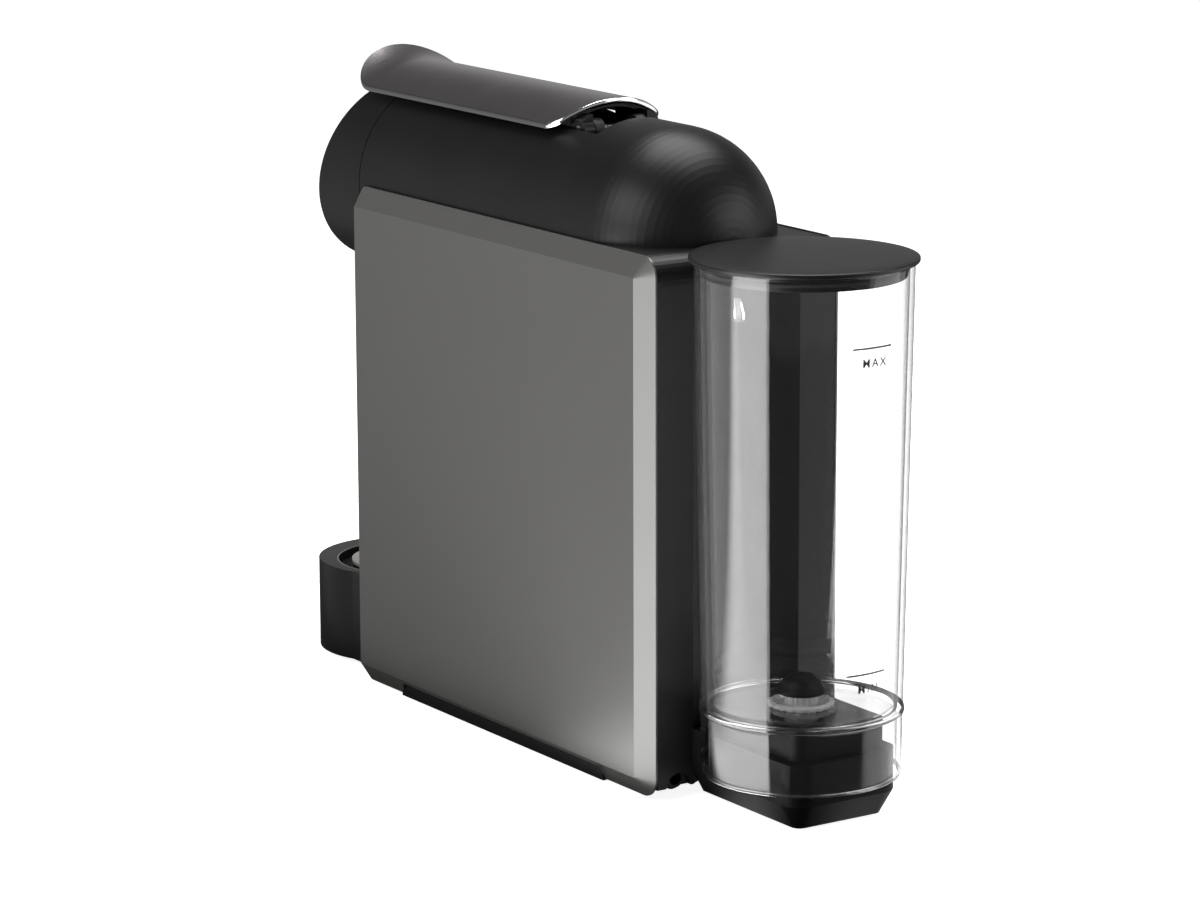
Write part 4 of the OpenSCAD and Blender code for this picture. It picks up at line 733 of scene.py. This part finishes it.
# %% Cup stand trim
stand_low, stand_high = box_mm("cup_stand")
grid_low, grid_high = box_mm("drip_grid")
STAND_R, STAND_TOP = -stand_low[0], stand_high[2]
Y_STAND, Y_OPEN = stand_low[1] + STAND_R, (grid_low[1] + grid_high[1]) / 2
OPEN_R = (grid_high[1] - grid_low[1]) / 2 + 0.4


def trim(name, inner, outer, low, high, material):
    """A flat ring whose inner and outer circles are (radius, centre y)."""
    a = np.linspace(0, 2 * np.pi, 160, endpoint=False)
    rows = [[(r * np.cos(t), y + r * np.sin(t), z) for t in a]
            for (r, y), z in ((inner, low), (outer, low), (outer, high), (inner, high))]
    rows = np.array(rows + rows[:1]) * MM
    ring = solid(name, rows, finishes[material], ends=False)
    weld(ring.data)
    added(ring, "stand")


EDGE_R = OPEN_R + 0.8
trim("cup_stand_trim", (EDGE_R, Y_OPEN), (STAND_R - 0.5, Y_STAND), STAND_TOP - 0.2,
     STAND_TOP + 0.12, "rim_grey")
trim("cup_stand_edge", (OPEN_R + 0.02, Y_OPEN), (EDGE_R, Y_OPEN), STAND_TOP - 0.6,
     STAND_TOP + 0.16, "steel")

# %% [markdown]
# Three soft panels light the machine: one above, one on its right, which gives the dome
# its highlight, and one far behind. They are large, so that no shadow has a hard edge.

# %% Lights
def softbox(name, place, target, width, height, power):
    """An area light that faces its target."""
    data = bpy.data.lights.new(name, "AREA")
    data.shape = "RECTANGLE"
    data.size, data.size_y, data.energy = width, height, power
    obj = bpy.data.objects.new(name, data)
    obj.location = place
    obj.rotation_euler = (Vector(target) - Vector(place)).to_track_quat("-Z", "Y").to_euler()
    obj.visible_camera = False
    bpy.context.scene.collection.objects.link(obj)


softbox("light_over", (-0.3, -0.2, 1.5), (0, 0, 0.2), 1.0, 1.0, 20)
softbox("light_side", (1.1, 0.05, 0.85), (0, 0.08, 0.25), 1.0, 0.7, 9)
softbox("light_back", (-1.1, 1.3, 0.75), (0, 0.1, 0.2), 1.5, 0.9, 12)

# %% [markdown]
# The machine stands on a white table in a white room. If it mirrored all that white, its
# black parts would look grey. So the Light Path node splits the two: a ray straight from
# the eye finds plain white, and every other ray finds what lights and mirrors show.

# %% Two shaders in one surface
def glow(tree, colour, strength):
    """An emission shader of this strength; colour is a wire or a grey level."""
    made = tree.nodes.new("ShaderNodeEmission")
    made.inputs["Strength"].default_value = strength
    if isinstance(colour, Wire):
        tree.links.new(colour.socket, made.inputs["Color"])
    else:
        made.inputs["Color"].default_value = shade(colour)
    return made.outputs[0]


def seen_or_mirrored(tree, seen, mirrored, output):
    """The first shader for what is looked at, the second for what lights and mirrors."""
    path = tree.nodes.new("ShaderNodeLightPath")
    mix = tree.nodes.new("ShaderNodeMixShader")
    for socket, source in zip(mix.inputs, (path.outputs["Is Camera Ray"], mirrored, seen)):
        tree.links.new(source, socket)
    tree.links.new(mix.outputs[0], output)


# %% [markdown]
# What the lacquer and the clear tank mirror is a bright field on the table to the
# machine's right, dimmer towards the front, and a second, weaker field behind it on the
# left. Both lie still on the table, in metres from the tank's axis: across is X, along
# is Y. Each edge of a field is a straight line, given as a sum that is 0 on the line.

# %% Table
FIELD_BRIGHT, FIELD_DIM, FIELD_REAR, FIELD_DARK = 5.8, 0.40, 1.3, 0.06
FIELD_START = 0.06
table, table_shader, table_place = new_finish(
    "table_white", Roughness=0.7, Emission_Color=(1, 1, 1, 1), Emission_Strength=0.9)
grain = table_place.node("TexNoise", Vector=table_place, Scale=30.0)
plug(table_shader, "Base Color", grain.ramp((0.3, 0.78), (0.7, 0.82)))
across = table_place.node("SeparateXYZ", Vector=table_place)
along = table_place.node("SeparateXYZ", output=1, Vector=table_place) - Y_TANK * MM


def step(wire, start, stop):
    """Rises smoothly from 0 to 1 between two values."""
    return wire.node("MapRange", {"interpolation_type": "SMOOTHSTEP"}, Value=wire,
                     From_Min=start, From_Max=stop)


near_edge = step(0.017 + across * 0.2586 - along, -0.004, 0.004)
far_edge = step(along + across * 0.42 + 0.09, -0.06, 0.09)
beside = step(across, FIELD_START, FIELD_START + 0.03)
bright = near_edge * beside * (far_edge * (FIELD_BRIGHT - FIELD_DIM) + (FIELD_DIM - FIELD_DARK))
behind = step(along + 0.04, 0.0, 0.03) * step(0.037 - across - along * 0.885, -0.01, 0.02)
brightness = (bright + behind * (FIELD_REAR - FIELD_DARK) + FIELD_DARK) / FIELD_BRIGHT
seen_or_mirrored(table.node_tree, table_shader.outputs[0],
                 glow(table.node_tree, brightness, FIELD_BRIGHT),
                 table.node_tree.nodes["Material Output"].inputs["Surface"])

# %% [markdown]
# The room is dim grey near the horizon and darker overhead, so that flat tops pick up a
# soft sheen and upward curves stay deep.

# %% Surroundings
SKY_LOW, SKY_HIGH = 0.34, 0.07
world = bpy.data.worlds.new("studio")
world.use_nodes = True
place = world.node_tree.nodes.new("ShaderNodeTexCoord")
direction = Wire(world.node_tree, place.outputs["Generated"])
height = direction.node("SeparateXYZ", output=2, Vector=direction)
sky = step(height, 0.12, 0.5) * (SKY_HIGH - SKY_LOW) + SKY_LOW
seen_or_mirrored(world.node_tree, glow(world.node_tree, 1.0, 1.0),
                 glow(world.node_tree, sky, 1.0),
                 world.node_tree.nodes["World Output"].inputs["Surface"])
bpy.context.scene.world = world

# %% [markdown]
# The table's top is one large square, a hair below the feet so that the two never share
# a plane. It is a stage, not a piece of the machine.

# %% Floor
FLOOR_HALF, FLOOR_Z = 6.0, -0.0002
corners = [(x * FLOOR_HALF, y * FLOOR_HALF, FLOOR_Z)
           for x, y in ((-1, -1), (1, -1), (1, 1), (-1, 1))]
floor_mesh = bpy.data.meshes.new("floor")
floor_mesh.from_pydata(corners, [], [(0, 1, 2, 3)])
floor = bpy.data.objects.new("floor", floor_mesh)
bpy.context.scene.collection.objects.link(floor)
floor_mesh.materials.append(table)
bpy.context.scene.view_settings.view_transform = "Standard"
